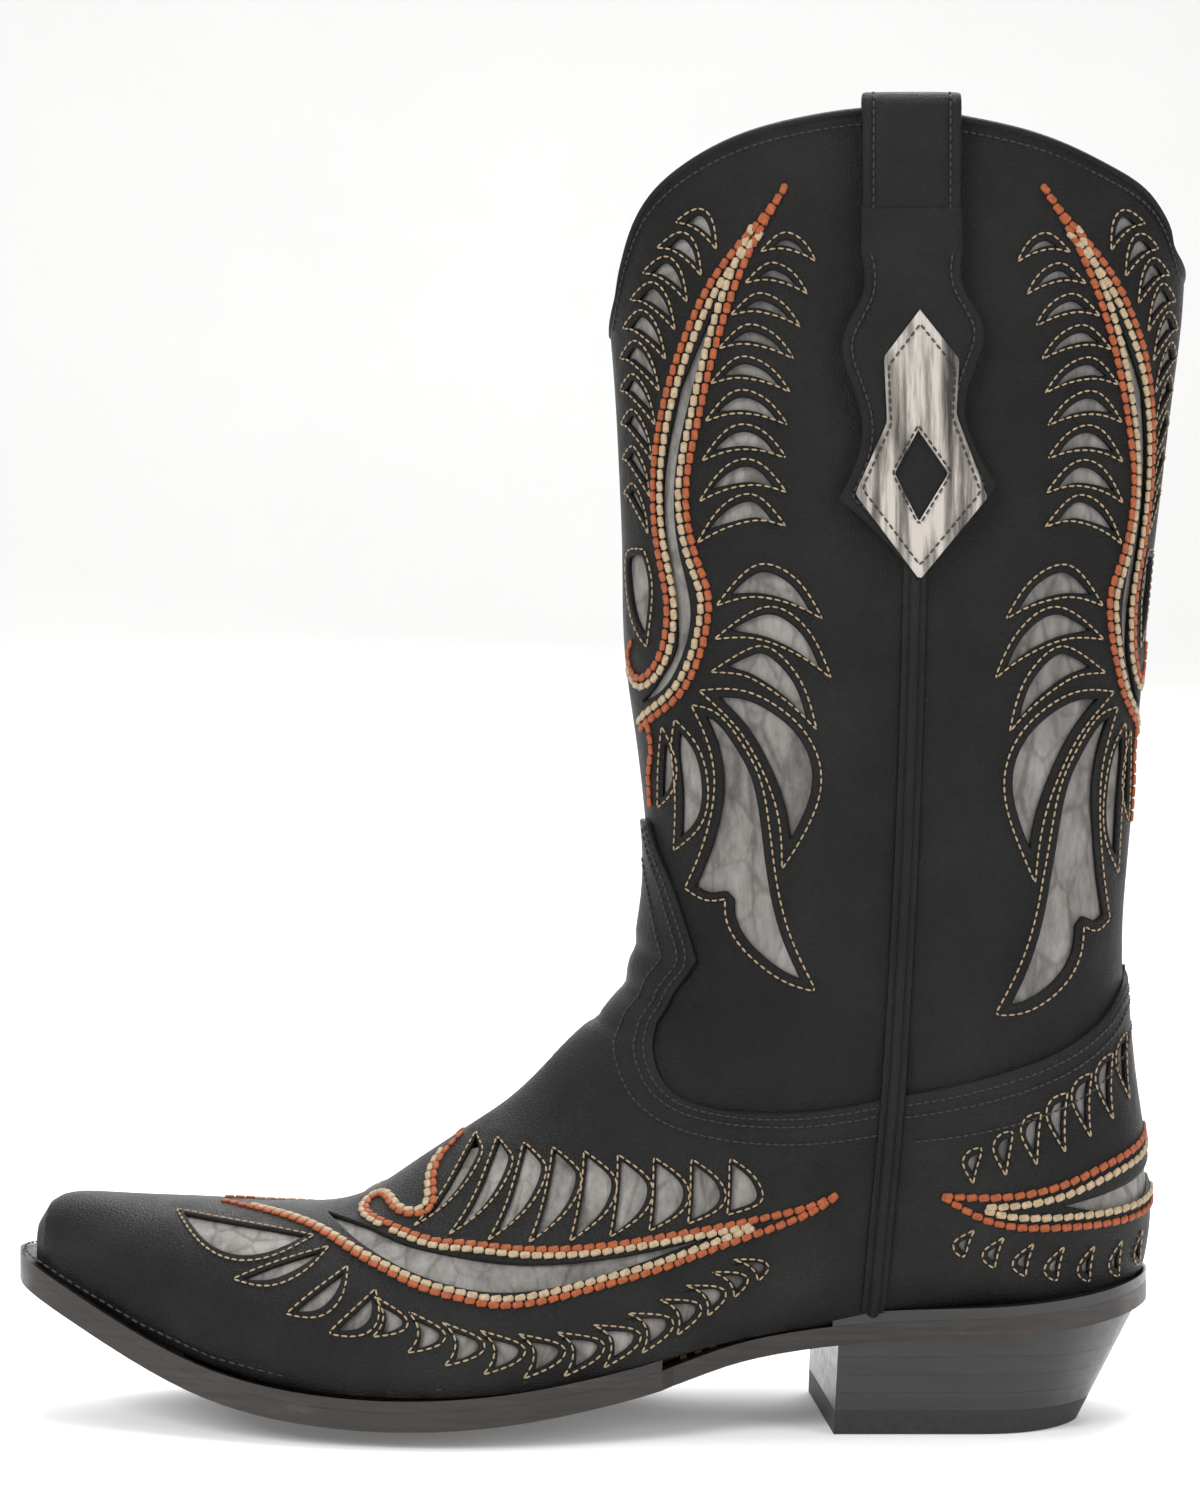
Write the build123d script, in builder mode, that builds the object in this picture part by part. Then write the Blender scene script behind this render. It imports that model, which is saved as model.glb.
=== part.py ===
"""A left cowboy boot with a snip toe, an underslung stacked heel and two pull straps, in millimetres.

X runs from the toe (-X) to the heel (+X), -Y is the outer side of the foot, +Z is up, and the floor is Z = 0.
The leather layers are shells between copies of one closed sock shape, each copy moved in or out by an offset,
and each shell is cut to its pattern piece by an outline that is drawn in side view and extruded across the boot.
"""

from build123d import *
import math
import os
from typing import NamedTuple

import numpy as np

# ---- Driving dimensions -------------------------------------------------------------------------------------
GAP = 0.2  # air left between neighbouring leather layers
SHAFT_LEATHER = 1.3
FOOT_LEATHER = 1.3
INLAY_LEATHER = 0.7
STIFFENER = 1.3
LINING = 1.0
STRAP_LEATHER = 1.8
STRAP_WIDTH = 26.6
STRAP_X = 88.5  # middle of both pull straps
OUTSOLE = 5.2
WELT = 3.0
LIFT = 5.0
TOP_LIFT = 6.5
HEEL_GAP = 0.05  # glue line between heel lifts
HALF_WIDTH = 60.0  # half width of the blanks that the sole layers are cut from
FAR = 400.0  # longer than the boot, for cutting blanks
MIDDLE_X = 5.33  # the middle of the finished boot, which is moved to X = 0, Y = 0
MIDDLE_Y = -0.43

# Offsets of the layer faces from the shaft's outer surface, outermost first
VAMP_OUT = GAP + FOOT_LEATHER
VAMP_IN = GAP
PANEL_OUT = 0.0
PANEL_IN = -SHAFT_LEATHER
SHAFT_INLAY_OUT = PANEL_IN - GAP
SHAFT_INLAY_IN = SHAFT_INLAY_OUT - INLAY_LEATHER
FOOT_INLAY_IN = -INLAY_LEATHER
STIFFENER_OUT = FOOT_INLAY_IN - GAP
STIFFENER_IN = SHAFT_INLAY_IN
LINING_OUT = SHAFT_INLAY_IN - GAP
LINING_IN = LINING_OUT - LINING
FOOTBED_EDGE = LINING_IN - GAP
PIPING_OUT = VAMP_OUT + 0.7
TAIL_IN = PIPING_OUT + 0.3
TAIL_OUT = TAIL_IN + STRAP_LEATHER
OVERLAY_IN = TAIL_OUT + 0.1
OVERLAY_OUT = OVERLAY_IN + 1.0
INNER_TAIL_OUT = LINING_IN - GAP
INNER_TAIL_IN = INNER_TAIL_OUT - 1.5


class Section(NamedTuple):
    """A cut through the boot, square to the side view, from the ridge point to the back or bottom point."""

    ridge: tuple  # x, z of the shin, instep or toe top
    back: tuple  # x, z of the calf, heel or sole
    centre: float  # sideways shift of the cut
    half_width: float
    widest: float  # where the cut is widest, from 0 at the ridge to 1 at the back
    ridge_power: float  # superellipse power of the ridge end
    back_power: float  # superellipse power of the back end


SECTIONS = [
    Section((5.5, 362), (169.5, 362), 0.0, 38.0, 0.50, 2.30, 2.30),
    Section((7.0, 330), (168.6, 330), 0.0, 37.5, 0.50, 2.30, 2.30),
    Section((8.2, 300), (167.0, 300), 0.0, 37.0, 0.50, 2.30, 2.30),
    Section((10.4, 270), (163.0, 270), 0.0, 36.5, 0.50, 2.30, 2.30),
    Section((11.5, 240), (159.7, 240), 0.0, 36.0, 0.50, 2.30, 2.30),
    Section((12.4, 210), (156.9, 210), 0.0, 35.5, 0.50, 2.25, 2.30),
    Section((16.2, 182), (154.3, 180), 0.0, 35.0, 0.50, 2.20, 2.30),
    Section((18.6, 157), (151.8, 150), 0.0, 34.5, 0.50, 2.10, 2.30),
    Section((17.2, 138), (151.0, 125), 0.0, 34.2, 0.52, 2.05, 2.30),
    Section((13.0, 121), (152.6, 100), 0.0, 34.2, 0.55, 2.00, 2.30),
    Section((5.8, 111), (155.6, 78), 0.0, 34.8, 0.60, 2.00, 2.35),
    Section((-1.5, 104), (156.9, 58), 0.0, 35.2, 0.64, 2.00, 2.40),
    Section((-9.5, 95.6), (151.0, 34), 0.0, 35.4, 0.65, 2.00, 2.30),
    Section((-18.0, 87.8), (134.0, 28.5), -0.3, 35.4, 0.66, 2.00, 2.20),
    Section((-26.0, 82.0), (110.0, 26.5), -0.6, 35.4, 0.66, 2.00, 2.20),
    Section((-34.5, 76.5), (80.0, 24.5), -1.0, 35.8, 0.67, 2.00, 2.20),
    Section((-43.5, 70.5), (48.0, 20.0), -1.6, 37.4, 0.69, 2.00, 2.30),
    Section((-53.5, 63.6), (18.0, 12.5), -2.0, 42.0, 0.71, 2.00, 2.60),
    Section((-66.0, 58.3), (-14.0, 5.5), -1.0, 46.2, 0.71, 2.05, 2.90),
    Section((-80.0, 57.0), (-46.0, 3.0), 0.6, 46.8, 0.71, 2.10, 3.00),
    Section((-95.0, 57.4), (-74.0, 5.5), 2.2, 42.0, 0.70, 2.15, 3.00),
    Section((-111.0, 57.9), (-99.0, 11.5), 3.8, 34.2, 0.69, 2.25, 3.00),
    Section((-126.0, 58.7), (-120.0, 20.0), 5.0, 25.4, 0.66, 2.40, 2.80),
    Section((-138.0, 59.3), (-136.0, 28.5), 5.8, 18.8, 0.63, 2.50, 2.80),
    Section((-145.6, 58.4), (-145.6, 33.5), 6.2, 14.4, 0.57, 2.60, 2.80),
    Section((-149.4, 54.0), (-149.8, 37.0), 6.4, 10.6, 0.48, 2.80, 2.80),
]
OUTLINE_SAMPLES = 241  # samples on each half of a section, from which its spline points are taken
POINTS = 17  # spline points on each side of a section
END_CROWDING = 0.6  # how much closer those points stand near the middle plane, from 0 to 1
SHARES = [
    END_CROWDING * (1 - math.cos(math.pi * i / (POINTS - 1))) / 2 + (1 - END_CROWDING) * i / (POINTS - 1)
    for i in range(POINTS)
]  # where those points stand along each side, the same for every section
JOIN_TOLERANCE = 0.02  # within which the two halves' edges on the middle plane count as one
TOE_SHIFT = {-4: 0.1, -3: 0.3, -2: 0.7, -1: 1.0}  # share of an offset that moves the toe's last sections
TOE_CAP_SHARE = 0.5  # share of an offset that widens the last section, which faces the toe's tip
SHAFT_SECTIONS = 9  # sections above the ankle

# The top face of the outsole: x, height at the edge, and how much lower its middle lies
SOLE_LINE = [
    (-165.0, 46.0, 1.0),
    (-150.0, 40.4, 1.5),
    (-138.0, 34.3, 2.0),
    (-120.0, 25.8, 3.0),
    (-99.0, 18.4, 4.6),
    (-74.0, 13.8, 6.2),
    (-46.0, 12.0, 6.8),
    (-16.0, 14.0, 6.2),
    (6.0, 17.8, 5.2),
    (24.0, 22.0, 4.4),
    (40.0, 26.8, 3.5),
    (60.0, 30.2, 2.4),
    (82.0, 32.0, 1.4),
    (114.0, 33.0, 0.8),
    (138.0, 35.4, 0.4),
    (150.0, 37.2, 0.2),
    (166.0, 40.5, 0.1),
]

# Plan of the outsole: the outer side from the toe to the heel, then the inner side back to the toe
TOE_TIP = -157.6
HEEL_TIP = 157.6
WAIST_X = 22.0  # where the welt ends and the narrow waist begins
RAND_X = 68.0  # where the heel rand begins
OUTER_FORE = [(-151, -9.8), (-138, -17.4), (-120, -26.0), (-99, -35.6), (-74, -44.4), (-46, -49.8)]
OUTER_FORE += [(-20, -49.4), (2, -45.0), (WAIST_X, -38.5)]
OUTER_REAR = [(WAIST_X + 3, -35.5), (42, -32.6), (62, -32.4), (84, -34.0), (108, -35.6), (128, -34.4)]
OUTER_REAR += [(143, -28.4), (153, -16.5)]
INNER_REAR = [(153, 16.5), (143, 28.4), (128, 34.4), (108, 35.6), (84, 33.4), (62, 30.4), (42, 28.4)]
INNER_REAR += [(WAIST_X + 3, 30.0)]
INNER_FORE = [(WAIST_X, 33.0), (2, 40.5), (-22, 47.2), (-50, 49.4), (-74, 47.2), (-99, 41.2), (-120, 34.0)]
INNER_FORE += [(-138, 28.6), (-151, 22.4)]

# Side view outlines, as (x, z)
SIDE_SEAM = [(91.0, 365), (89.8, 232), (87.1, 145), (84.0, 91.7), (81.0, 60), (77.0, 20)]
VAMP_TOP = [(19.7, 165), (21.8, 157.4), (25.0, 149.3), (29.5, 136.0), (32.1, 127.5)]
VAMP_THROAT = [(32.1, 127.5), (26.0, 118.5), (20.8, 109.0), (20.2, 101.0), (23.6, 93.5), (32.1, 88.9)]
VAMP_THROAT += [(48.2, 87.0), (67.0, 88.3), (84.0, 91.7)]
COUNTER_TOP = [(84.0, 91.7), (102.0, 95.0), (124.3, 101.3), (138.8, 109.0), (148.0, 118.0), (158.0, 133.0)]
COLLAR = [(3.0, 291), (8.6, 304), (15.0, 329), (28.0, 342.5), (45.0, 350.3), (65.0, 354.6), (84.0, 356.0)]
COLLAR += [(104.0, 353.6), (125.0, 349.0), (143.0, 342.0), (157.0, 333.5), (165.5, 317.0), (172.0, 299)]
SHAFT_FOOT = [(22, 150), (22, 124), (13, 108), (13, 96), (26, 80), (84, 83), (102, 87), (124, 93)]
SHAFT_FOOT += [(139, 100), (150, 110), (162, 126)]  # the shaft's lower edge, hidden under vamp and counter

# Heel block: breast and back at the seat and at the floor
BREAST_SEAT_X = 70.0
BREAST_FLOOR_X = 68.5
BREAST_SKEW = 3.0  # the inner corner of the breast lies this much nearer the toe
HEEL_FLOOR_BACK = 138.0
HEEL_FLOOR_HALF_WIDTH = 29.0
HEEL_SEAT_Z = 37.0
HEEL_SEAT_HALF_WIDTH = 34.8
DIAGONAL = math.sqrt(0.5)


# ---- The sock shape -----------------------------------------------------------------------------------------
def half_outline(section):
    """Distances along the cut and half widths, from ridge to back, evenly spaced along the outline."""
    length = math.dist(section.ridge, section.back)
    angle = np.linspace(0, math.pi / 2, 400)
    ridge_side = section.widest * (1 - np.cos(angle) ** (2 / section.ridge_power))
    ridge_width = np.sin(angle) ** (2 / section.ridge_power)
    back_side = section.widest + (1 - section.widest) * np.sin(angle) ** (2 / section.back_power)
    back_width = np.clip(np.cos(angle), 0, 1) ** (2 / section.back_power)
    along = np.concatenate([ridge_side, back_side[1:]]) * length
    width = np.concatenate([ridge_width, back_width[1:]]) * section.half_width
    run = np.concatenate([[0], np.cumsum(np.hypot(np.diff(along), np.diff(width)))])
    even = np.linspace(0, run[-1], OUTLINE_SAMPLES)
    return np.interp(even, run, along), np.interp(even, run, width)


def in_space(section, along, width):
    """Points of a half outline in space, on the inner side of the boot."""
    ridge = np.array([section.ridge[0], 0.0, section.ridge[1]])
    back = np.array([section.back[0], 0.0, section.back[1]])
    direction = (back - ridge) / np.linalg.norm(back - ridge)
    return ridge + np.outer(along, direction) + np.outer(width, [0.0, 1.0, 0.0]), direction


def offset_outline(index, offset):
    """A half outline moved by offset, more where the cut slants through the leather."""
    section = SECTIONS[index]
    along, width = half_outline(section)
    here, direction = in_space(section, along, width)
    before = SECTIONS[max(index - 1, 0)]
    after = SECTIONS[min(index + 1, len(SECTIONS) - 1)]
    lengthwise = in_space(after, *half_outline(after))[0] - in_space(before, *half_outline(before))[0]
    step_along, step_width = np.gradient(along), np.gradient(width)
    step_along[0] = step_along[-1] = 0
    step_width[0], step_width[-1] = 1, -1
    run = np.hypot(step_along, step_width)
    out_along, out_width = -step_width / run, step_along / run
    around = np.outer(step_along, direction) + np.outer(step_width, [0.0, 1.0, 0.0])
    normal = np.cross(around, lengthwise)
    normal /= np.linalg.norm(normal, axis=1)[:, None]
    outward = np.outer(out_along, direction) + np.outer(out_width, [0.0, 1.0, 0.0])
    slant = np.clip(np.abs(np.sum(normal * outward, axis=1)), 0.6, 1)
    share = TOE_CAP_SHARE if index == len(SECTIONS) - 1 else 1
    return along + out_along * share * offset / slant, width + out_width * share * offset / slant


def side_of_outline(index, offset, side):
    """The outline's points on one side of the middle plane Y = 0, closer together near that plane."""
    along, width = offset_outline(index, offset)
    centre = SECTIONS[index].centre
    loop_along = np.concatenate([along, along[-2:0:-1]])
    loop_y = np.concatenate([centre + width, centre - width[-2:0:-1]]) * side
    start = int(np.argmin(loop_y))
    loop_along = np.append(np.roll(loop_along, -start), loop_along[start])
    loop_y = np.append(np.roll(loop_y, -start), loop_y[start])
    inside = np.flatnonzero(loop_y > 0)
    first, last = int(inside[0]), int(inside[-1])
    crossings = []
    for below, above in ((first - 1, first), (last + 1, last)):
        share = loop_y[below] / (loop_y[below] - loop_y[above])
        crossings.append(loop_along[below] + share * (loop_along[above] - loop_along[below]))
    path_along = np.concatenate([[crossings[0]], loop_along[first : last + 1], [crossings[1]]])
    path_y = np.concatenate([[0], loop_y[first : last + 1], [0]])
    if path_along[0] > path_along[-1]:
        path_along, path_y = path_along[::-1], path_y[::-1]
    run = np.concatenate([[0], np.cumsum(np.hypot(np.diff(path_along), np.diff(path_y)))])
    places = run[-1] * np.array(SHARES)
    return list(zip(np.interp(places, run, path_along).tolist(), (np.interp(places, run, path_y) * side).tolist()))


def half_sock(offset, side, count=len(SECTIONS)):
    """One side of the closed boot shape with its surface moved out by offset, or only its first sections."""
    with BuildPart() as shape:
        for index, section in enumerate(SECTIONS[:count]):
            shift = -offset * TOE_SHIFT.get(index - len(SECTIONS), 0)
            slope = (section.back[0] - section.ridge[0], 0, section.back[1] - section.ridge[1])
            origin = (section.ridge[0] + shift, 0, section.ridge[1])
            with BuildSketch(Plane(origin, x_dir=slope, z_dir=Vector(*slope).cross(Vector(0, 1, 0)))):
                with BuildLine():
                    outline = Edge.make_spline(side_of_outline(index, offset, side), parameters=SHARES)
                    add(outline)
                    Line(outline @ 1, outline @ 0)
                make_face()
        loft()
    return shape.part


SOCKS = {}


def sock_at(offset, side, count=len(SECTIONS)):
    """One side of the sock shape at an offset, made once."""
    key = (round(offset, 3), side, count)
    if key not in SOCKS:
        SOCKS[key] = half_sock(*key)
    return SOCKS[key]


# ---- Sole layers --------------------------------------------------------------------------------------------
def sole_layer(low, high):
    """A blank between two heights above the outsole's top face, curved along and across like the sole."""
    with BuildPart() as layer:
        for x, edge, drop in SOLE_LINE:
            with BuildSketch(Plane.YZ.offset(x)):
                with BuildLine():
                    top = ThreePointArc(
                        (-HALF_WIDTH, edge + high), (0, edge + high - drop), (HALF_WIDTH, edge + high)
                    )
                    bottom = ThreePointArc(
                        (-HALF_WIDTH, edge + low), (0, edge + low - drop), (HALF_WIDTH, edge + low)
                    )
                    Line(top @ 0, bottom @ 0)
                    Line(top @ 1, bottom @ 1)
                make_face()
        loft()
    return layer.part


def sole_plan(inset=0.0, low=-50.0, high=80.0):
    """The sole's plan as a column from low to high."""
    with BuildPart() as column:
        with BuildSketch(Plane.XY.offset(low)):
            with BuildLine():
                outer_fore = Spline((TOE_TIP + 1.0, 0.4), *OUTER_FORE)
                inner_fore = Spline(*INNER_FORE, (TOE_TIP + 1.0, 12.6))
                rear = Spline(*OUTER_REAR, (HEEL_TIP, 0), *INNER_REAR)
                Line(outer_fore @ 1, rear @ 0)
                Line(rear @ 1, inner_fore @ 0)
                ThreePointArc(inner_fore @ 1, (TOE_TIP, 6.5), outer_fore @ 0)
            make_face()
            if inset:
                offset(amount=-inset, kind=Kind.INTERSECTION)
        extrude(amount=high - low)
    return column.part


def side_view(*outline):
    """A side view outline of (x, z) points and lines, extruded right across the boot."""
    with BuildPart() as prism:
        with BuildSketch(Plane.XZ):
            with BuildLine():
                for piece in outline:
                    add(piece)
            make_face()
        extrude(amount=FAR / 4, both=True)
    return prism.part


def straight(*points):
    """Straight runs through side view points."""
    return Polyline(*points, mode=Mode.PRIVATE)


def curved(points):
    """A smooth line through side view points."""
    return Spline(*points, mode=Mode.PRIVATE)


def moved(points, x=0.0, z=0.0):
    return [(px + x, pz + z) for px, pz in points]


def shell(outside, inside, *regions, cut=(), sides=(-1, 1), count=len(SECTIONS), join=JOIN_TOLERANCE):
    """The leather between two offsets, kept where every region holds it, clear of the sole and the cuts."""
    halves = []
    for side in sides:
        with BuildPart() as half:
            add(sock_at(outside, side, count))
            for region in regions:
                add(region, mode=Mode.INTERSECT)
            for tool in cut:
                add(tool, mode=Mode.SUBTRACT)
            add(sock_at(inside, side, count), mode=Mode.SUBTRACT)
        halves.append(half.part)
    with BuildPart() as piece:
        add(halves[0].fuse(*halves[1:], tol=join) if len(halves) > 1 else halves[0])
    return piece


def half_space(x_low, x_high, y_low, y_high, z_low, z_high):
    """A plain block between the given planes."""
    with BuildPart() as block:
        with Locations(((x_low + x_high) / 2, (y_low + y_high) / 2, (z_low + z_high) / 2)):
            Box(x_high - x_low, y_high - y_low, z_high - z_low)
    return block.part


# ---- Cutting outlines ---------------------------------------------------------------------------------------
def ahead_of_seam(clear):
    """Everything on the toe side of the side seam, less clear."""
    seam = moved(SIDE_SEAM, x=-clear)
    low, high = (seam[-1][0], -60), (seam[0][0], FAR)
    return side_view(
        straight(seam[0], high, (-FAR, FAR), (-FAR, -60), low, seam[-1]), curved(seam)
    )


def behind_seam(clear):
    """Everything on the heel side of the side seam, less clear."""
    seam = moved(SIDE_SEAM, x=clear)
    low, high = (seam[-1][0], -60), (seam[0][0], FAR)
    return side_view(straight(seam[0], high, (FAR, FAR), (FAR, -60), low, seam[-1]), curved(seam))


def below_vamp_top():
    """Everything under the edge where the vamp and the counter end on the shaft."""
    tip, end = VAMP_TOP[0], COUNTER_TOP[-1]
    return side_view(
        straight((-FAR, -60), (-FAR, tip[1] + 2), (0, tip[1] + 2), tip),
        curved(VAMP_TOP),
        curved(VAMP_THROAT),
        curved(COUNTER_TOP),
        straight(end, (FAR, end[1] + 8), (FAR, -60), (-FAR, -60)),
    )


def below_shaft_foot():
    """Everything under the shaft's lower edge."""
    first, last = (-FAR, SHAFT_FOOT[0][1]), (FAR, SHAFT_FOOT[-1][1])
    return side_view(straight(first, *SHAFT_FOOT, last, (FAR, -60), (-FAR, -60), first))


def below_collar(rise=0.0):
    """Everything under the scalloped top line of the shaft, raised by rise."""
    line = moved(COLLAR, z=rise)
    return side_view(
        straight(line[-1], (FAR, line[-1][1]), (FAR, -60), (-FAR, -60), (-FAR, line[0][1]), line[0]),
        curved(line),
    )


SEAM_HALF = 2.5  # half the width of the side piping
below_floor_line = sole_layer(-60, 0.05)
foot = below_vamp_top()
under_shaft = below_shaft_foot()
under_collar = below_collar()
toe_side = ahead_of_seam(SEAM_HALF)
heel_side = behind_seam(SEAM_HALF)
LINING_SPLIT = 92.0  # height where the shaft lining ends and the foot lining begins


def make_upper():
    """The outer leather of the foot and the shaft."""
    vamp = shell(VAMP_OUT, VAMP_IN, foot, toe_side, cut=[below_floor_line])
    vamp.part.label = "vamp"
    counter = shell(VAMP_OUT, VAMP_IN, foot, heel_side, cut=[below_floor_line])
    counter.part.label = "heel_counter_cover"
    front = shell(PANEL_OUT, PANEL_IN, under_collar, toe_side, cut=[under_shaft])
    front.part.label = "shaft_front_panel"
    back = shell(PANEL_OUT, PANEL_IN, under_collar, heel_side, cut=[under_shaft])
    back.part.label = "shaft_back_panel"
    return [vamp, counter, front, back]


def make_linings():
    """The lining leather, in one layer: two shaft halves and the foot."""
    above = half_space(-FAR, FAR, -FAR, FAR, LINING_SPLIT + GAP / 2, FAR)
    below = half_space(-FAR, FAR, -FAR, FAR, -FAR, LINING_SPLIT - GAP / 2)
    front = shell(LINING_OUT, LINING_IN, under_collar, above, ahead_of_seam(GAP / 2))
    front.part.label = "shaft_front_lining"
    back = shell(LINING_OUT, LINING_IN, under_collar, above, behind_seam(GAP / 2))
    back.part.label = "shaft_back_lining"
    foot_lining = shell(LINING_OUT, LINING_IN, below, cut=[below_floor_line])
    foot_lining.part.label = "foot_lining"
    return [front, back, foot_lining]


def make_inlays():
    """The grey leather laid behind the cut-outs of the shaft, vamp and counter."""
    front_window = side_view(
        straight((-10, 112), (-10, 328), (62, 328), (72, 250), (76, 190), (72, 112), (-10, 112))
    )
    back_window = side_view(
        straight((180, 112), (180, 328), (114, 328), (106, 250), (102, 190), (106, 112), (180, 112))
    )
    vamp_window = side_view(
        straight((-118, 70), (-118, 20), (-90, 4), (20, 4), (70, 34), (70, 60), (34, 76), (6, 80)),
        straight((6, 80), (-4, 106), (-60, 90), (-118, 70)),
    )
    counter_window = side_view(
        straight((94, 34), (94, 84), (126, 91), (146, 106), (152, 114), (170, 116), (170, 34), (94, 34))
    )
    front = shell(SHAFT_INLAY_OUT, SHAFT_INLAY_IN, front_window, under_collar)
    front.part.label = "shaft_front_inlay"
    back = shell(SHAFT_INLAY_OUT, SHAFT_INLAY_IN, back_window, under_collar)
    back.part.label = "shaft_back_inlay"
    vamp = shell(PANEL_OUT, FOOT_INLAY_IN, vamp_window, cut=[below_floor_line])
    vamp.part.label = "vamp_inlay"
    counter = shell(PANEL_OUT, FOOT_INLAY_IN, counter_window, cut=[below_floor_line])
    counter.part.label = "heel_counter_inlay"
    return [front, back, vamp, counter]


def make_stiffeners():
    """The hidden toe box and heel cup."""
    toe_end = half_space(-144, -108, -FAR, FAR, -FAR, FAR)
    heel_cup = side_view(straight((100, 20), (106, 70), (128, 86), (170, 92), (170, 20), (100, 20)))
    toe_box = shell(STIFFENER_OUT, STIFFENER_IN, toe_end, cut=[below_floor_line], join=0.1)
    toe_box.part.label = "toe_box"
    cup = shell(STIFFENER_OUT, STIFFENER_IN, heel_cup, cut=[below_floor_line])
    cup.part.label = "heel_stiffener"
    return [toe_box, cup]


def make_trim():
    """The bead on the shaft's top edge and the piping down both side seams."""
    bead = shell(PANEL_OUT, LINING_IN, below_collar(1.2), cut=[below_collar(0.1)])
    bead.part.label = "collar_bead"
    strip_top = 346.0  # hidden under the pull straps
    strip = side_view(
        straight((70, 20), (70, strip_top), (100, strip_top), (100, 20), (70, 20))
    )
    pieces = [bead]
    for name, side in (("outer", -1), ("inner", 1)):
        narrow = SEAM_HALF - GAP / 2
        edges = [ahead_of_seam(narrow), behind_seam(narrow), below_floor_line]
        piping = shell(PIPING_OUT, PANEL_IN, strip, cut=edges, sides=(side,))
        piping.part.label = f"side_piping_{name}"
        pieces.append(piping)
    return pieces


# ---- Pull straps --------------------------------------------------------------------------------------------
LOOP_FOOT_Z = 318.0  # where the free loop meets the two sewn ends
LOOP_TOP_Z = 361.0
LOOP_OUTER_Y = 42.2
LOOP_INNER_Y = 31.5
LOOP_CORNER = 3.6
TAIL_LEFT = [(75.2, 317.4), (75.4, 306), (70.2, 292), (75.6, 272), (69.4, 252), (90.6, 230.5)]
TAIL_RIGHT = [(111.0, 256), (102.6, 277), (107.7, 295.5), (102.6, 308), (101.8, 317.4)]
OVERLAY = [(90.6, 302.5), (81.2, 290), (82.0, 272.5), (73.6, 253.5), (90.6, 230.5), (108.4, 252.5)]
OVERLAY += [(100.2, 274.5), (101.0, 289.5)]
DIAMOND = [(90.2, 270.5), (84.0, 259), (90.4, 246), (98.2, 259)]
INNER_TAIL_FOOT_Z = 265.0


def make_strap_loop(side):
    """The free part of a pull strap: a band that saddles the collar and lifts off it when pulled."""
    with BuildPart() as loop:
        with BuildSketch(Plane.YZ.offset(STRAP_X - STRAP_WIDTH / 2)):
            width = LOOP_OUTER_Y - LOOP_INNER_Y
            height = LOOP_TOP_Z - LOOP_FOOT_Z
            middle = side * (LOOP_OUTER_Y + LOOP_INNER_Y) / 2
            with Locations((middle, LOOP_FOOT_Z + height / 2)):
                band = Rectangle(width, height)
            fillet(band.vertices().group_by(Axis.Z)[-1], LOOP_CORNER)
            inside_width = width - 2 * STRAP_LEATHER
            inside_height = height - STRAP_LEATHER
            with Locations((middle, LOOP_FOOT_Z + inside_height / 2)):
                Rectangle(inside_width, inside_height, mode=Mode.SUBTRACT)
        extrude(amount=STRAP_WIDTH)
    return loop


def make_straps():
    """Both pull straps: a sewn outer end with its overlay, a free loop and a sewn inner end."""
    tail_outline = side_view(straight(*TAIL_LEFT, *TAIL_RIGHT, TAIL_LEFT[0]))
    overlay_outline = side_view(straight(*OVERLAY, OVERLAY[0]))
    diamond = side_view(straight(*DIAMOND, DIAMOND[0]))
    half = STRAP_WIDTH / 2
    pieces = []
    for name, side in (("outer", -1), ("inner", 1)):
        tail = shell(TAIL_OUT, TAIL_IN, tail_outline, sides=(side,))
        tail.part.label = f"pull_strap_{name}_tail"
        overlay = shell(OVERLAY_OUT, OVERLAY_IN, overlay_outline, cut=[diamond], sides=(side,))
        overlay.part.label = f"pull_strap_{name}_overlay"
        band = half_space(STRAP_X - half, STRAP_X + half, -FAR, FAR, INNER_TAIL_FOOT_Z, LOOP_FOOT_Z - 0.6)
        lining_tail = shell(INNER_TAIL_OUT, INNER_TAIL_IN, band, sides=(side,), count=SHAFT_SECTIONS)
        lining_tail.part.label = f"pull_strap_{name}_lining_tail"
        loop = make_strap_loop(side)
        loop.part.label = f"pull_strap_{name}_loop"
        pieces += [tail, overlay, lining_tail, loop]
    return pieces


# ---- Bottom -------------------------------------------------------------------------------------------------
def inside_linings(low, high):
    """A layer of the footbed between two heights, out to the foot lining."""
    layer = sole_layer(low, high)
    halves = []
    for side in (-1, 1):
        with BuildPart() as half:
            add(sock_at(FOOTBED_EDGE, side))
            add(layer, mode=Mode.INTERSECT)
        halves.append(half.part)
    return halves[0] + halves[1]


def make_footbed():
    """What lies inside the bottom: filler, steel shank, insole and sock liner."""
    shank_length, shank_width, shank_middle = 104.0, 15.0, 52.0
    with BuildPart() as shank_plan:
        with BuildSketch(Plane.XY):
            with Locations((shank_middle, -1)):
                SlotOverall(shank_length, shank_width)
        extrude(amount=80)
    with BuildPart() as shank:
        add(sole_layer(0.3, 1.9))
        add(shank_plan.part, mode=Mode.INTERSECT)
    shank.part.label = "steel_shank"
    with BuildPart() as filler:
        add(inside_linings(0.1, 2.1))
        with BuildSketch(Plane.XY):
            with Locations((shank_middle, -1)):
                SlotOverall(shank_length + 0.4, shank_width + 0.4)
        extrude(amount=80, mode=Mode.SUBTRACT)
    filler.part.label = "cork_filler"
    with BuildPart() as insole:
        add(inside_linings(2.2, 4.7))
    insole.part.label = "insole"
    with BuildPart() as sock_liner:
        add(inside_linings(4.8, 6.0))
    sock_liner.part.label = "sock_liner"
    return [shank, filler, insole, sock_liner]


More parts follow.
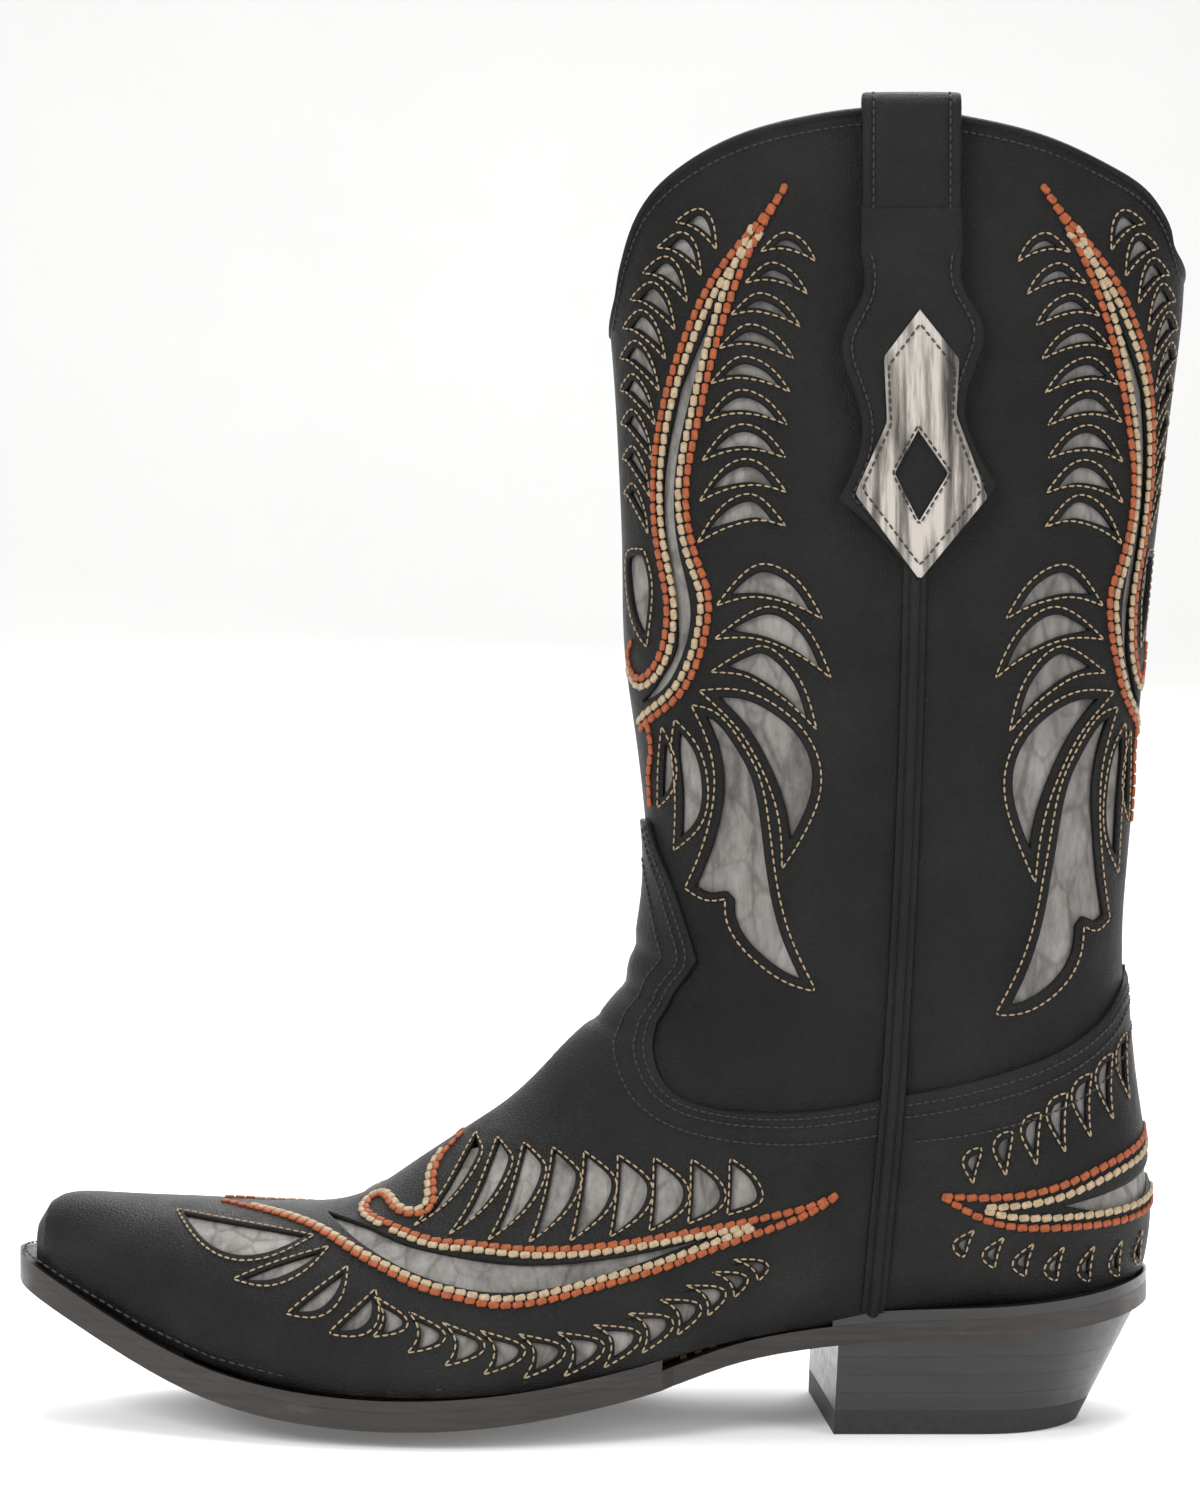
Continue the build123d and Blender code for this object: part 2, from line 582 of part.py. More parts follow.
def edge_strip(x_low, x_high):
    """The strip of leather that lies on the outsole around the upper, between two cuts across the boot."""
    halves = []
    for side in (-1, 1):
        y_low, y_high = min(0, side * FAR), max(0, side * FAR)
        with BuildPart() as half:
            add(sole_layer(0.05, WELT))
            add(sole_plan(), mode=Mode.INTERSECT)
            add(half_space(x_low, x_high, y_low, y_high, -FAR, FAR), mode=Mode.INTERSECT)
            add(sock_at(VAMP_OUT + GAP, side), mode=Mode.SUBTRACT)
        halves.append(half.part)
    return halves[0] + halves[1]


def make_bottom():
    """The welt round the forepart, the rand round the heel seat, and the outsole."""
    with BuildPart() as welt:
        add(edge_strip(-FAR, WAIST_X))
    welt.part.label = "welt"
    with BuildPart() as rand:
        add(edge_strip(RAND_X, FAR))
    rand.part.label = "heel_rand"
    with BuildPart() as outsole:
        add(sole_layer(-OUTSOLE, 0))
        add(sole_plan(), mode=Mode.INTERSECT)
    outsole.part.label = "outsole"
    return [welt, rand, outsole]


def heel_plan(height, half_width, back, breast):
    """The heel's D-shaped plan at a height: a skewed breast, straight flanks and a round back."""
    round_start = back - 1.05 * half_width
    with BuildSketch(Plane.XY.offset(height)) as plan:
        with BuildLine():
            outer = Line((breast, -half_width), (round_start, -half_width))
            inner = Line((breast - BREAST_SKEW, half_width), (round_start, half_width))
            shoulder = (round_start + DIAGONAL * (back - round_start), DIAGONAL * half_width)
            near = (shoulder[0], -shoulder[1])
            Spline(outer @ 1, near, (back, 0), shoulder, inner @ 1, tangents=[(1, 0), (-1, 0)])
            Line(outer @ 0, inner @ 0)
        make_face()
    return plan.sketch


def heel_block():
    """The whole heel as one tapered block, up into the outsole."""
    with BuildPart() as block:
        add(heel_plan(0, HEEL_FLOOR_HALF_WIDTH, HEEL_FLOOR_BACK, BREAST_FLOOR_X))
        add(heel_plan(HEEL_SEAT_Z, HEEL_SEAT_HALF_WIDTH, HEEL_TIP - 0.6, BREAST_SEAT_X))
        loft()
    return block.part


def make_heel():
    """The stacked heel: a rubber top lift, three leather lifts and a wedge lift under the seat."""
    block = heel_block()
    under_sole = sole_layer(-60, -OUTSOLE - HEEL_GAP)
    levels = [0, TOP_LIFT, TOP_LIFT + LIFT, TOP_LIFT + 2 * LIFT, TOP_LIFT + 3 * LIFT, 60]
    names = ["heel_top_lift", "heel_lift_1", "heel_lift_2", "heel_lift_3", "heel_wedge_lift"]
    pieces = []
    for name, low, high in zip(names, levels, levels[1:]):
        with BuildPart() as lift:
            add(block)
            add(half_space(-FAR, FAR, -FAR, FAR, low, high - HEEL_GAP), mode=Mode.INTERSECT)
            add(under_sole, mode=Mode.INTERSECT)
        lift.part.label = name
        pieces.append(lift)
    return pieces


NAIL_RADIUS = 1.1
NAIL_HEAD_RADIUS = 2.2
NAIL_LENGTH = 22.0
NAIL_HEAD = 0.8
HEEL_NAILS = [(78, -20), (78, 18), (100, -24), (100, 24), (122, -21), (122, 21), (139, 0)]
TOP_NAIL_RADIUS = 0.8
TOP_LIFT_NAILS = [(76, -22), (76, 20), (94, -24), (94, 24), (112, -23), (112, 23), (126, -14), (126, 14)]
PEG = 1.7
PEG_LENGTH = 8.5
PEG_X = (28, 60)  # first and last peg of the waist
PEG_ROWS = ((-24.5, -22.0), (20.5, 23.5))  # distance from the middle at the first and at the last peg
PEG_COUNT = 9


def sole_height(x, y):
    """Height of the outsole's top face."""
    stations = [row[0] for row in SOLE_LINE]
    edge = float(np.interp(x, stations, [row[1] for row in SOLE_LINE]))
    drop = float(np.interp(x, stations, [row[2] for row in SOLE_LINE]))
    return edge - drop * (1 - (y / HALF_WIDTH) ** 2)


def make_fasteners():
    """Heel nails from the insole, top lift nails from below, and the wooden pegs of the waist."""
    with BuildPart() as heel_nails:
        for x, y in HEEL_NAILS:
            head = sole_height(x, y) + 4.0
            with Locations((x, y, head - NAIL_LENGTH)):
                Cylinder(NAIL_RADIUS, NAIL_LENGTH, align=(Align.CENTER, Align.CENTER, Align.MIN))
            with Locations((x, y, head - NAIL_HEAD)):
                Cylinder(NAIL_HEAD_RADIUS, NAIL_HEAD, align=(Align.CENTER, Align.CENTER, Align.MIN))
    heel_nails.part.label = "heel_nails"
    with BuildPart() as top_nails:
        with Locations(*[(x, y, 0.3) for x, y in TOP_LIFT_NAILS]):
            Cylinder(TOP_NAIL_RADIUS, 10.5, align=(Align.CENTER, Align.CENTER, Align.MIN))
    top_nails.part.label = "top_lift_nails"
    with BuildPart() as waist_pegs:
        for first_y, last_y in PEG_ROWS:
            for index in range(PEG_COUNT):
                share = index / (PEG_COUNT - 1)
                x = PEG_X[0] + (PEG_X[1] - PEG_X[0]) * share
                y = first_y + (last_y - first_y) * share
                with Locations((x, y, sole_height(x, y) - OUTSOLE + 0.2)):
                    Box(PEG, PEG, PEG_LENGTH, align=(Align.CENTER, Align.CENTER, Align.MIN))
    waist_pegs.part.label = "waist_pegs"
    return [heel_nails, top_nails, waist_pegs]


def drilled(pieces, fasteners):
    """Cuts the holes of the nails and pegs in the pieces that they pass through."""
    for piece in pieces:
        for fastener in fasteners:
            with BuildPart() as bored:
                add(piece.part)
                add(fastener.part, mode=Mode.SUBTRACT)
            bored.part.label = piece.part.label
            piece = bored
        yield piece


def main():
    os.makedirs("parts", exist_ok=True)
    pieces = []
    for maker in (make_upper, make_linings, make_inlays, make_stiffeners, make_trim, make_straps):
        pieces += maker()
    fasteners = make_fasteners()
    shank, *footbed = make_footbed()
    pieces += [shank, *drilled(footbed[:2], fasteners), *footbed[2:]]
    welt, rand, outsole = make_bottom()
    pieces += [welt, rand, *drilled([outsole, *make_heel()], fasteners), *fasteners]
    for piece in pieces:
        centred = piece.part.moved(Location((-MIDDLE_X, -MIDDLE_Y, 0)))
        centred.label = piece.part.label
        export_step(centred, f"parts/{centred.label}.step")
        print(centred.label, len(centred.solids()), round(centred.volume), flush=True)


main()
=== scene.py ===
"""A left cowboy boot with a snip toe: the looks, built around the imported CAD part.

Lengths are in millimetres until a mesh is made. The pattern frame is the one the leather was drawn in: X
runs from the toe (-X) to the heel, -Y is the outer side of the foot and Z = 0 is the floor. place() moves
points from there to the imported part's frame, in metres.

The upper's surface is a fan of sections. A point on it is (s, v): s is the distance around the section from
its ridge (the shin, instep or toe top), or from its back (the calf, heel or sole), plus on the outer side and
minus on the inner side. v is the distance from the collar to the toe, measured half way round the sections.
"""

import math
import random

import bpy
import numpy as np
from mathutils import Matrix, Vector
from mathutils.geometry import delaunay_2d_cdt


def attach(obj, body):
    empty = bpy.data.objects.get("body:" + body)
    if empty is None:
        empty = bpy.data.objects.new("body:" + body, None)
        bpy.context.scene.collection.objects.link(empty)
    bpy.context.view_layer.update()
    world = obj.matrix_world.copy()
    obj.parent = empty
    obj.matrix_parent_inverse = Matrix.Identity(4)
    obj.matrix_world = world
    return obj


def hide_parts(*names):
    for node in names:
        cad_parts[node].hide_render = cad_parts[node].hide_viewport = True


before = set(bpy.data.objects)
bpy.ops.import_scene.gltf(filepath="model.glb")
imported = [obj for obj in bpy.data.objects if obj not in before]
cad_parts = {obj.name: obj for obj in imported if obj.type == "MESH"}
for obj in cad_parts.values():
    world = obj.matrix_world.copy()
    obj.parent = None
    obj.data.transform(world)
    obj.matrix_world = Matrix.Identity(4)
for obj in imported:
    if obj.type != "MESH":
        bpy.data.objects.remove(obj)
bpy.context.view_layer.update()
random.seed(7)

MIDDLE = np.array([5.33, -0.43, 0.0])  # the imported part's origin in the pattern frame


def place(points):
    """Pattern frame millimetres to the part's frame in metres."""
    return (np.asarray(points, float) - MIDDLE) * 0.001


# ---- The upper's surface -----------------------------------------------------------------------------------
# ridge x, z; back x, z; sideways centre; half width; widest place; superellipse powers at the ridge and back
SECTIONS = np.array([
    (5.5, 362, 169.5, 362, 0.0, 38.0, 0.50, 2.30, 2.30),
    (7.0, 330, 168.6, 330, 0.0, 37.5, 0.50, 2.30, 2.30),
    (8.2, 300, 167.0, 300, 0.0, 37.0, 0.50, 2.30, 2.30),
    (10.4, 270, 163.0, 270, 0.0, 36.5, 0.50, 2.30, 2.30),
    (11.5, 240, 159.7, 240, 0.0, 36.0, 0.50, 2.30, 2.30),
    (12.4, 210, 156.9, 210, 0.0, 35.5, 0.50, 2.25, 2.30),
    (16.2, 182, 154.3, 180, 0.0, 35.0, 0.50, 2.20, 2.30),
    (18.6, 157, 151.8, 150, 0.0, 34.5, 0.50, 2.10, 2.30),
    (17.2, 138, 151.0, 125, 0.0, 34.2, 0.52, 2.05, 2.30),
    (13.0, 121, 152.6, 100, 0.0, 34.2, 0.55, 2.00, 2.30),
    (5.8, 111, 155.6, 78, 0.0, 34.8, 0.60, 2.00, 2.35),
    (-1.5, 104, 156.9, 58, 0.0, 35.2, 0.64, 2.00, 2.40),
    (-9.5, 95.6, 151.0, 34, 0.0, 35.4, 0.65, 2.00, 2.30),
    (-18.0, 87.8, 134.0, 28.5, -0.3, 35.4, 0.66, 2.00, 2.20),
    (-26.0, 82.0, 110.0, 26.5, -0.6, 35.4, 0.66, 2.00, 2.20),
    (-34.5, 76.5, 80.0, 24.5, -1.0, 35.8, 0.67, 2.00, 2.20),
    (-43.5, 70.5, 48.0, 20.0, -1.6, 37.4, 0.69, 2.00, 2.30),
    (-53.5, 63.6, 18.0, 12.5, -2.0, 42.0, 0.71, 2.00, 2.60),
    (-66.0, 58.3, -14.0, 5.5, -1.0, 46.2, 0.71, 2.05, 2.90),
    (-80.0, 57.0, -46.0, 3.0, 0.6, 46.8, 0.71, 2.10, 3.00),
    (-95.0, 57.4, -74.0, 5.5, 2.2, 42.0, 0.70, 2.15, 3.00),
    (-111.0, 57.9, -99.0, 11.5, 3.8, 34.2, 0.69, 2.25, 3.00),
    (-126.0, 58.7, -120.0, 20.0, 5.0, 25.4, 0.66, 2.40, 2.80),
    (-138.0, 59.3, -136.0, 28.5, 5.8, 18.8, 0.63, 2.50, 2.80),
    (-145.6, 58.4, -145.6, 33.5, 6.2, 14.4, 0.57, 2.60, 2.80),
    (-149.0, 55.4, -149.2, 36.0, 6.4, 11.4, 0.50, 2.80, 2.80),
    (-150.2, 51.8, -150.4, 39.5, 6.4, 7.8, 0.50, 2.80, 2.80),
    (-150.6, 47.2, -150.7, 43.8, 6.4, 2.5, 0.50, 2.00, 2.00),
])
ROWS_PER_SECTION = 10
AROUND = 201


def natural_spline(values, at):
    """A natural cubic spline through values at 0, 1, 2 and on."""
    values = np.asarray(values, float)
    count = len(values)
    matrix = np.eye(count) * 4
    matrix[0] = matrix[-1] = 0
    matrix[0, 0] = matrix[-1, -1] = 1
    right = np.zeros_like(values)
    for i in range(1, count - 1):
        matrix[i, i - 1] = matrix[i, i + 1] = 1
        right[i] = 6 * (values[i + 1] - 2 * values[i] + values[i - 1])
    bend = np.linalg.solve(matrix, right)
    i = np.clip(np.floor(at).astype(int), 0, count - 2)
    u = at - i
    if values.ndim > 1:
        u = u[:, None]
    low = values[i] * (1 - u) + bend[i] * ((1 - u) ** 3 - (1 - u)) / 6
    return low + values[i + 1] * u + bend[i + 1] * (u ** 3 - u) / 6


def through(points, spacing):
    """A smooth open line through points, sampled about every spacing."""
    points = np.asarray(points, float)
    fine = natural_spline(points, np.linspace(0, len(points) - 1, 60 * len(points)))
    return evenly(fine, spacing)


def evenly(line, spacing=None, count=None):
    """Resamples a line evenly along its length."""
    step = np.linalg.norm(np.diff(line, axis=0), axis=1)
    run = np.concatenate([[0], np.cumsum(step)])
    if count is None:
        count = max(int(round(run[-1] / spacing)), 2) + 1
    places = np.linspace(0, run[-1], count)
    return np.column_stack([np.interp(places, run, line[:, i]) for i in range(line.shape[1])])


def section_rows():
    """Points of the outer side's half sections, in even steps around each, for closely spaced sections."""
    last = len(SECTIONS) - 1
    rows = natural_spline(SECTIONS, np.linspace(0, last, last * ROWS_PER_SECTION + 1))
    angle = np.linspace(0, math.pi / 2, 300)
    points = []
    lengths = []
    for rx, rz, bx, bz, centre, half, widest, ridge_power, back_power in rows:
        ridge, back = np.array([rx, rz]), np.array([bx, bz])
        near = widest * (1 - np.cos(angle) ** (2 / ridge_power))
        far = widest + (1 - widest) * np.sin(angle) ** (2 / back_power)
        along = np.concatenate([near, far[1:]])
        ridge_width = np.sin(angle) ** (2 / ridge_power)
        back_width = np.clip(np.cos(angle), 0, 1)[1:] ** (2 / back_power)
        width = np.concatenate([ridge_width, back_width])
        flat = ridge + np.outer(along, back - ridge)
        line = np.column_stack([flat[:, 0], width * half, flat[:, 1]])
        lengths.append(np.linalg.norm(np.diff(line, axis=0), axis=1).sum())
        points.append(evenly(line, count=AROUND))
    return np.array(points), np.array(lengths), rows[:, 4]


HALF, GIRTH, CENTRE = section_rows()
MIDLINE = HALF[:, AROUND // 2] * [1, 0, 1]
RUN = np.concatenate([[0], np.cumsum(np.linalg.norm(np.diff(MIDLINE, axis=0), axis=1))])
DOWN = np.gradient(HALF, axis=0)
ROUND = np.gradient(HALF, axis=1)
ROUND[:, 0] = [0, 1, 0]
ROUND[:, -1] = [0, -1, 0]
NORMAL = np.cross(DOWN, ROUND)
NORMAL /= np.linalg.norm(NORMAL, axis=2)[..., None] + 1e-12
if NORMAL[0, AROUND // 2, 1] < 0:
    NORMAL = -NORMAL


def look_up(table, row, column):
    """Reads a table between its rows and columns."""
    row = np.clip(row, 0, table.shape[0] - 1.0001)
    column = np.clip(column, 0, table.shape[1] - 1.0001)
    i, j = row.astype(int), column.astype(int)
    u, w = (row - i)[:, None], (column - j)[:, None]
    top = table[i, j] * (1 - w) + table[i, j + 1] * w
    bottom = table[i + 1, j] * (1 - w) + table[i + 1, j + 1] * w
    return top * (1 - u) + bottom * u


def on_upper(flat, lift=0.0, from_back=False):
    """Points and outward normals for (s, v) points, lifted off the surface. Plus s is the outer side, -Y."""
    flat = np.asarray(flat, float)
    row = np.interp(flat[:, 1], RUN, np.arange(len(RUN)))
    girth = np.interp(row, np.arange(len(GIRTH)), GIRTH)
    share = np.abs(flat[:, 0]) / girth
    column = (1 - share if from_back else share) * (AROUND - 1)
    side = np.where(flat[:, 0] >= 0, -1.0, 1.0)[:, None] * [0, 1, 0] + [1, 0, 1]
    point = look_up(HALF, row, column) * side
    normal = look_up(NORMAL, row, column) * side
    normal /= np.linalg.norm(normal, axis=1)[:, None]
    point[:, 1] += np.interp(row, np.arange(len(CENTRE)), CENTRE)
    return point + normal * np.reshape(lift, (-1, 1)), normal


def from_side_view(points, from_back=False):
    """The (s, v) points of the outer side that the side view shows at (x, z)."""
    found = []
    flat_table = HALF[..., [0, 2]].reshape(-1, 2)
    for point in np.asarray(points, float):
        nearest = int(np.argmin(((flat_table - point) ** 2).sum(1)))
        row, column = divmod(nearest, AROUND)
        i, j = min(max(row, 1), len(HALF) - 2), min(max(column, 1), AROUND - 2)
        here = HALF[i, j][[0, 2]]
        steps = np.column_stack([HALF[i + 1, j][[0, 2]] - here, HALF[i, j + 1][[0, 2]] - here])
        shift = np.clip(np.linalg.lstsq(steps, point - here, rcond=None)[0], -1.5, 1.5)
        row, column = i + shift[0], min(max(j + shift[1], 0), AROUND - 1)
        girth = np.interp(row, np.arange(len(GIRTH)), GIRTH)
        share = column / (AROUND - 1)
        found.append([(1 - share if from_back else share) * girth, np.interp(row, np.arange(len(RUN)), RUN)])
    return np.array(found)


# ---- Panels ------------------------------------------------------------------------------------------------
def holds(polygon, points):
    """Which points a closed polygon holds."""
    x, y = points[:, 0], points[:, 1]
    held = np.zeros(len(points), bool)
    for (x0, y0), (x1, y1) in zip(polygon, np.roll(polygon, -1, axis=0)):
        if y0 != y1:
            held ^= ((y0 > y) != (y1 > y)) & (x < (x1 - x0) * (y - y0) / (y1 - y0) + x0)
    return held


def far_from(points, others, distance):
    """Which points are at least distance from all the others."""
    far = np.ones(len(points), bool)
    for start in range(0, len(points), 2000):
        part = points[start : start + 2000]
        for other in range(0, len(others), 3000):
            gap = ((part[:, None] - others[None, other : other + 3000]) ** 2).sum(2).min(1)
            far[start : start + 2000] &= gap > distance * distance
    return far


def closed(line, spacing):
    """A closed polygon resampled evenly, without its last point repeated."""
    line = np.asarray(line, float)
    return evenly(np.vstack([line, line[:1]]), spacing)[:-1]


EDGE, SEWN = 1, 2  # kinds of panel point, other than plain ones
EDGE_ROUNDING = 0.38
SEWN_DIP = 0.22


def triangles(outline, windows, grooves, spacing):
    """Fills an outline less its windows: points, triangles, and each point's kind."""
    loops = [closed(outline, 1.3)] + [closed(window, 0.9) for window in windows]
    edge = np.vstack(loops)
    links = []
    base = 0
    for loop in loops:
        links += [(base + i, base + (i + 1) % len(loop)) for i in range(len(loop))]
        base += len(loop)
    rim = []
    for loop in loops:
        ahead = np.roll(loop, -1, axis=0) - np.roll(loop, 1, axis=0)
        out = np.column_stack([ahead[:, 1], -ahead[:, 0]]) / (np.linalg.norm(ahead, axis=1)[:, None] + 1e-9)
        rim += [loop + out * 0.55, loop - out * 0.55]
    rim = np.vstack(rim)
    sewn = np.vstack([evenly(np.asarray(line), 1.2) for line in grooves]) if grooves else np.zeros((0, 2))
    low, high = edge.min(0), edge.max(0)
    columns = np.arange(low[0], high[0], spacing)
    across, down = np.meshgrid(columns, np.arange(low[1], high[1], spacing * 0.87))
    across[1::2] += spacing / 2
    grid = np.column_stack([across.ravel(), down.ravel()])

    def keep(points, distance, others):
        held = holds(loops[0], points)
        for window in loops[1:]:
            held &= ~holds(window, points)
        points = points[held]
        return points[far_from(points, others, distance)]

    rim = keep(rim, 0.42, edge)
    sewn = keep(sewn, 0.6, edge) if len(sewn) else sewn
    fixed = np.vstack([edge, rim, sewn])
    grid = keep(grid, 0.7 * spacing, fixed)
    points = np.vstack([fixed, grid])
    parts = ((edge, EDGE), (rim, 0), (sewn, SEWN), (grid, 0))
    kind = np.concatenate([np.full(len(part), value) for part, value in parts])
    out = delaunay_2d_cdt([Vector(p) for p in points], links, [], 0, 1e-4)
    flat = np.array([tuple(p) for p in out[0]])
    faces = np.array([face for face in out[2] if len(face) == 3])
    kinds = np.array([max((kind[i] for i in source if i < len(kind)), default=0) for source in out[3]])
    middle = flat[faces].mean(1)
    inside = holds(loops[0], middle)
    for window in loops[1:]:
        inside &= ~holds(window, middle)
    return flat, faces[inside], kinds


def solid_from(flat, faces, upper, lower):
    """A thin closed mesh between two skins that share triangles, as points and faces."""
    used = np.unique(faces)
    index = np.zeros(len(flat), int)
    index[used] = np.arange(len(used))
    faces = index[faces]
    upper, lower = upper[used], lower[used]
    count = len(used)
    half = {}  # a dictionary, so that the walls always come in the same order
    for a, b, c in faces.tolist():
        for one, two in ((a, b), (b, c), (c, a)):
            half[(one, two)] = True
    walls = [(two, one, one + count, two + count) for one, two in half if (two, one) not in half]
    skins = [tuple(face) for face in faces.tolist()]
    skins += [(c + count, b + count, a + count) for a, b, c in faces.tolist()]
    return np.vstack([upper, lower]), skins + walls


def make_mesh(name, points, faces, material, sharp=40.0, in_part=False):
    """A smooth-shaded object from pattern frame points, with edges sharper than an angle kept sharp."""
    mesh = bpy.data.meshes.new(name)
    mesh.from_pydata((points if in_part else place(points)).tolist(), [], [tuple(f) for f in faces])
    mesh.validate()
    mesh.polygons.foreach_set("use_smooth", [True] * len(mesh.polygons))
    mesh.set_sharp_from_angle(angle=math.radians(sharp))
    piece = bpy.data.objects.new(name, mesh)
    bpy.context.collection.objects.link(piece)
    mesh.materials.append(material)
    return piece


def panel(name, material, outline, windows=(), grooves=(), lift=0.0, thick=1.3, from_back=False, spacing=2.6):
    """Leather laid on the upper, with cut windows, rounded edges and a dip along each sewn line."""
    flat, faces, kinds = triangles(outline, windows, grooves, spacing)
    dip = np.where(kinds == EDGE, -EDGE_ROUNDING, np.where(kinds == SEWN, -SEWN_DIP, 0.0))
    puff = relief(flat, from_back)
    outer, normal = on_upper(flat, lift + dip + puff, from_back)
    inner, _ = on_upper(flat, lift - thick + puff, from_back)
    a, b, c = (outer[faces[:, i]] for i in range(3))
    if (np.cross(b - a, c - a) * normal[faces[:, 0]]).sum() < 0:
        faces = faces[:, ::-1]
    points, shell = solid_from(flat, faces, outer, inner)
    return make_mesh(name, points, shell, material)


def relief(flat, from_back):
    """Soft creases of a worn ankle, and the slight unevenness of stretched leather."""
    s, v = flat[:, 0], flat[:, 1]
    wave = 0.12 * np.sin(s * 0.11 + v * 0.07) + 0.1 * np.sin(s * 0.05 - v * 0.13 + 1.7)
    if from_back:
        return wave
    for centre, reach, depth, width in ((241, 34, 0.9, 3.4), (254, 42, 1.1, 4.0), (268, 30, 0.8, 3.2)):
        line = v - centre - 0.10 * np.abs(s) + 2.0 * np.sin(s * 0.09 + centre)
        wave = wave - depth * np.exp(-((line / width) ** 2)) * np.exp(-((s / reach) ** 4))
    return wave


# ---- Thread ------------------------------------------------------------------------------------------------
class Thread:
    """Stitches of one colour, gathered into one mesh."""

    def __init__(self, name, material):
        self.name, self.material = name, material
        self.points, self.faces, self.count = [], [], 0

    def add(self, points, faces):
        self.points.append(points)
        self.faces += [tuple(i + self.count for i in face) for face in faces]
        self.count += len(points)

    def finish(self):
        return make_mesh(self.name, np.vstack(self.points), self.faces, self.material, sharp=80)


def lozenge(rings, sides, blunt=4):
    """A stitch one unit long and round, along x, with blunt or sharp ends: its points and faces."""
    points = []
    for i in range(rings):
        x = -0.5 + i / (rings - 1)
        radius = 0.35 + 0.65 * math.sqrt(max(0.0, 1 - (2 * x) ** blunt))
        for j in range(sides):
            turn = 2 * math.pi * (j + 0.5) / sides
            points.append((x, radius * math.cos(turn) / 2, radius * math.sin(turn) / 2))
    faces = [tuple(range(sides))[::-1], tuple((rings - 1) * sides + j for j in range(sides))]
    for i in range(rings - 1):
        for j in range(sides):
            k = (j + 1) % sides
            faces.append((i * sides + j, i * sides + k, (i + 1) * sides + k, (i + 1) * sides + j))
    return np.array(points), faces


THIN = lozenge(5, 6)
FAT = lozenge(9, 8, 10)


def lay_stitches(thread, points, normals, pitch, length, width, height, shape=THIN, slant=0.0, sink=0.3):
    """Stitches end to end along a line on a surface."""
    step = np.linalg.norm(np.diff(points, axis=0), axis=1)
    run = np.concatenate([[0], np.cumsum(step)])
    count = max(int(round(run[-1] / pitch)), 1)
    at = (np.arange(count) + 0.5) * run[-1] / count
    half = length / 2 * run[-1] / count / pitch

    def read(values, places):
        return np.column_stack([np.interp(places, run, values[:, i]) for i in range(3)])

    start, end, up = read(points, at - half), read(points, at + half), read(normals, at)
    template, faces = shape
    for a, b, n in zip(start, end, up):
        along = b - a
        size = np.linalg.norm(along)
        if size < 1e-6:
            continue
        along = along / size
        side = np.cross(n, along)
        side /= np.linalg.norm(side) + 1e-9
        if slant:
            turn = slant + random.uniform(-0.05, 0.05)
            turned = along * math.cos(turn) + side * math.sin(turn)
            side = side * math.cos(turn) - along * math.sin(turn)
            along = turned
        n = np.cross(along, side)
        grow = random.uniform(0.94, 1.06)
        body = (
            (a + b) / 2
            + np.outer(template[:, 0] * size, along)
            + np.outer(template[:, 1] * width * grow, side)
            + np.outer(template[:, 2] * height, n)
            + n * height * sink
        )
        thread.add(body, faces)


def sew(thread, line, pitch=2.3, length=1.7, width=0.55, height=0.5, lift=0.0, from_back=False, **rest):
    """Stitches along (s, v) points on the upper, dipped into the leather."""
    line = evenly(np.asarray(line, float), 0.6)
    points, normals = on_upper(line, lift - 0.12 + relief(line, from_back), from_back)
    lay_stitches(thread, points, normals, pitch, length, width, height, **rest)


def satin(thread, line, lift=0.0, from_back=False, width=2.0):
    """A thick row of satin stitches."""
    sew(thread, line, 3.2, 2.95, width, 1.15, lift, from_back, shape=FAT, slant=0.16, sink=0.3)


def beside(line, distance):
    """A line moved sideways in the flat pattern."""
    line = np.asarray(line, float)
    ahead = np.gradient(line, axis=0)
    ahead /= np.linalg.norm(ahead, axis=1)[:, None]
    return line + np.column_stack([-ahead[:, 1], ahead[:, 0]]) * distance


# ---- Feathers ----------------------------------------------------------------------------------------------
def crescent(root, tip, top, hollow=0.3, inset=2.0):
    """A feather's sewn outline and its window: an arch from root to tip, and a shallower one back."""
    root, tip, top = (np.array(p, float) for p in (root, tip, top))
    along = tip - root
    size = np.linalg.norm(along)
    along /= size
    up = np.array([-along[1], along[0]])
    rise = (top - root) @ up
    if rise < 0:
        up, rise = -up, -rise
    share = (top - root) @ along / size

    def arch(first, last, height, first_lift, last_lift):
        points = [
            root + along * size * first + up * first_lift,
            root + along * size * (first + share) / 2 + up * (first_lift + (height - first_lift) * 0.74),
            root + along * size * share + up * height,
            root + along * size * (share * 0.45 + last * 0.55) + up * (last_lift * 0.3 + height * 0.7),
            root + along * size * last + up * last_lift,
        ]
        return through(points, 0.8)

    over, under = arch(0, 1, rise, 0, 0), arch(0, 1, rise * hollow, 0, 0)
    outline = np.vstack([over, under[::-1][1:]])
    floor = rise * hollow + inset * 0.45
    roof = max(rise - inset, floor + 0.8)
    low, high = 1.6 * inset / size, 1 - 1.5 * inset / size
    over = arch(low, high, roof, floor * 0.75, inset * 0.5)
    under = arch(low, high, floor, floor * 0.75, inset * 0.5)
    window = np.vstack([over, under[::-1][1:-1]])
    return outline, window


def in_between(table, count):
    """Rows of numbers spread smoothly from a few that are given, to count rows."""
    table = np.asarray(table, float)
    return natural_spline(table, np.linspace(0, len(table) - 1, count))


def feather_row(table, count, hollow=0.3, inset=2.0):
    """A row of feathers from a few (root, tip, top) rows of six numbers."""
    return [crescent(row[:2], row[2:4], row[4:], hollow, inset) for row in in_between(table, count)]


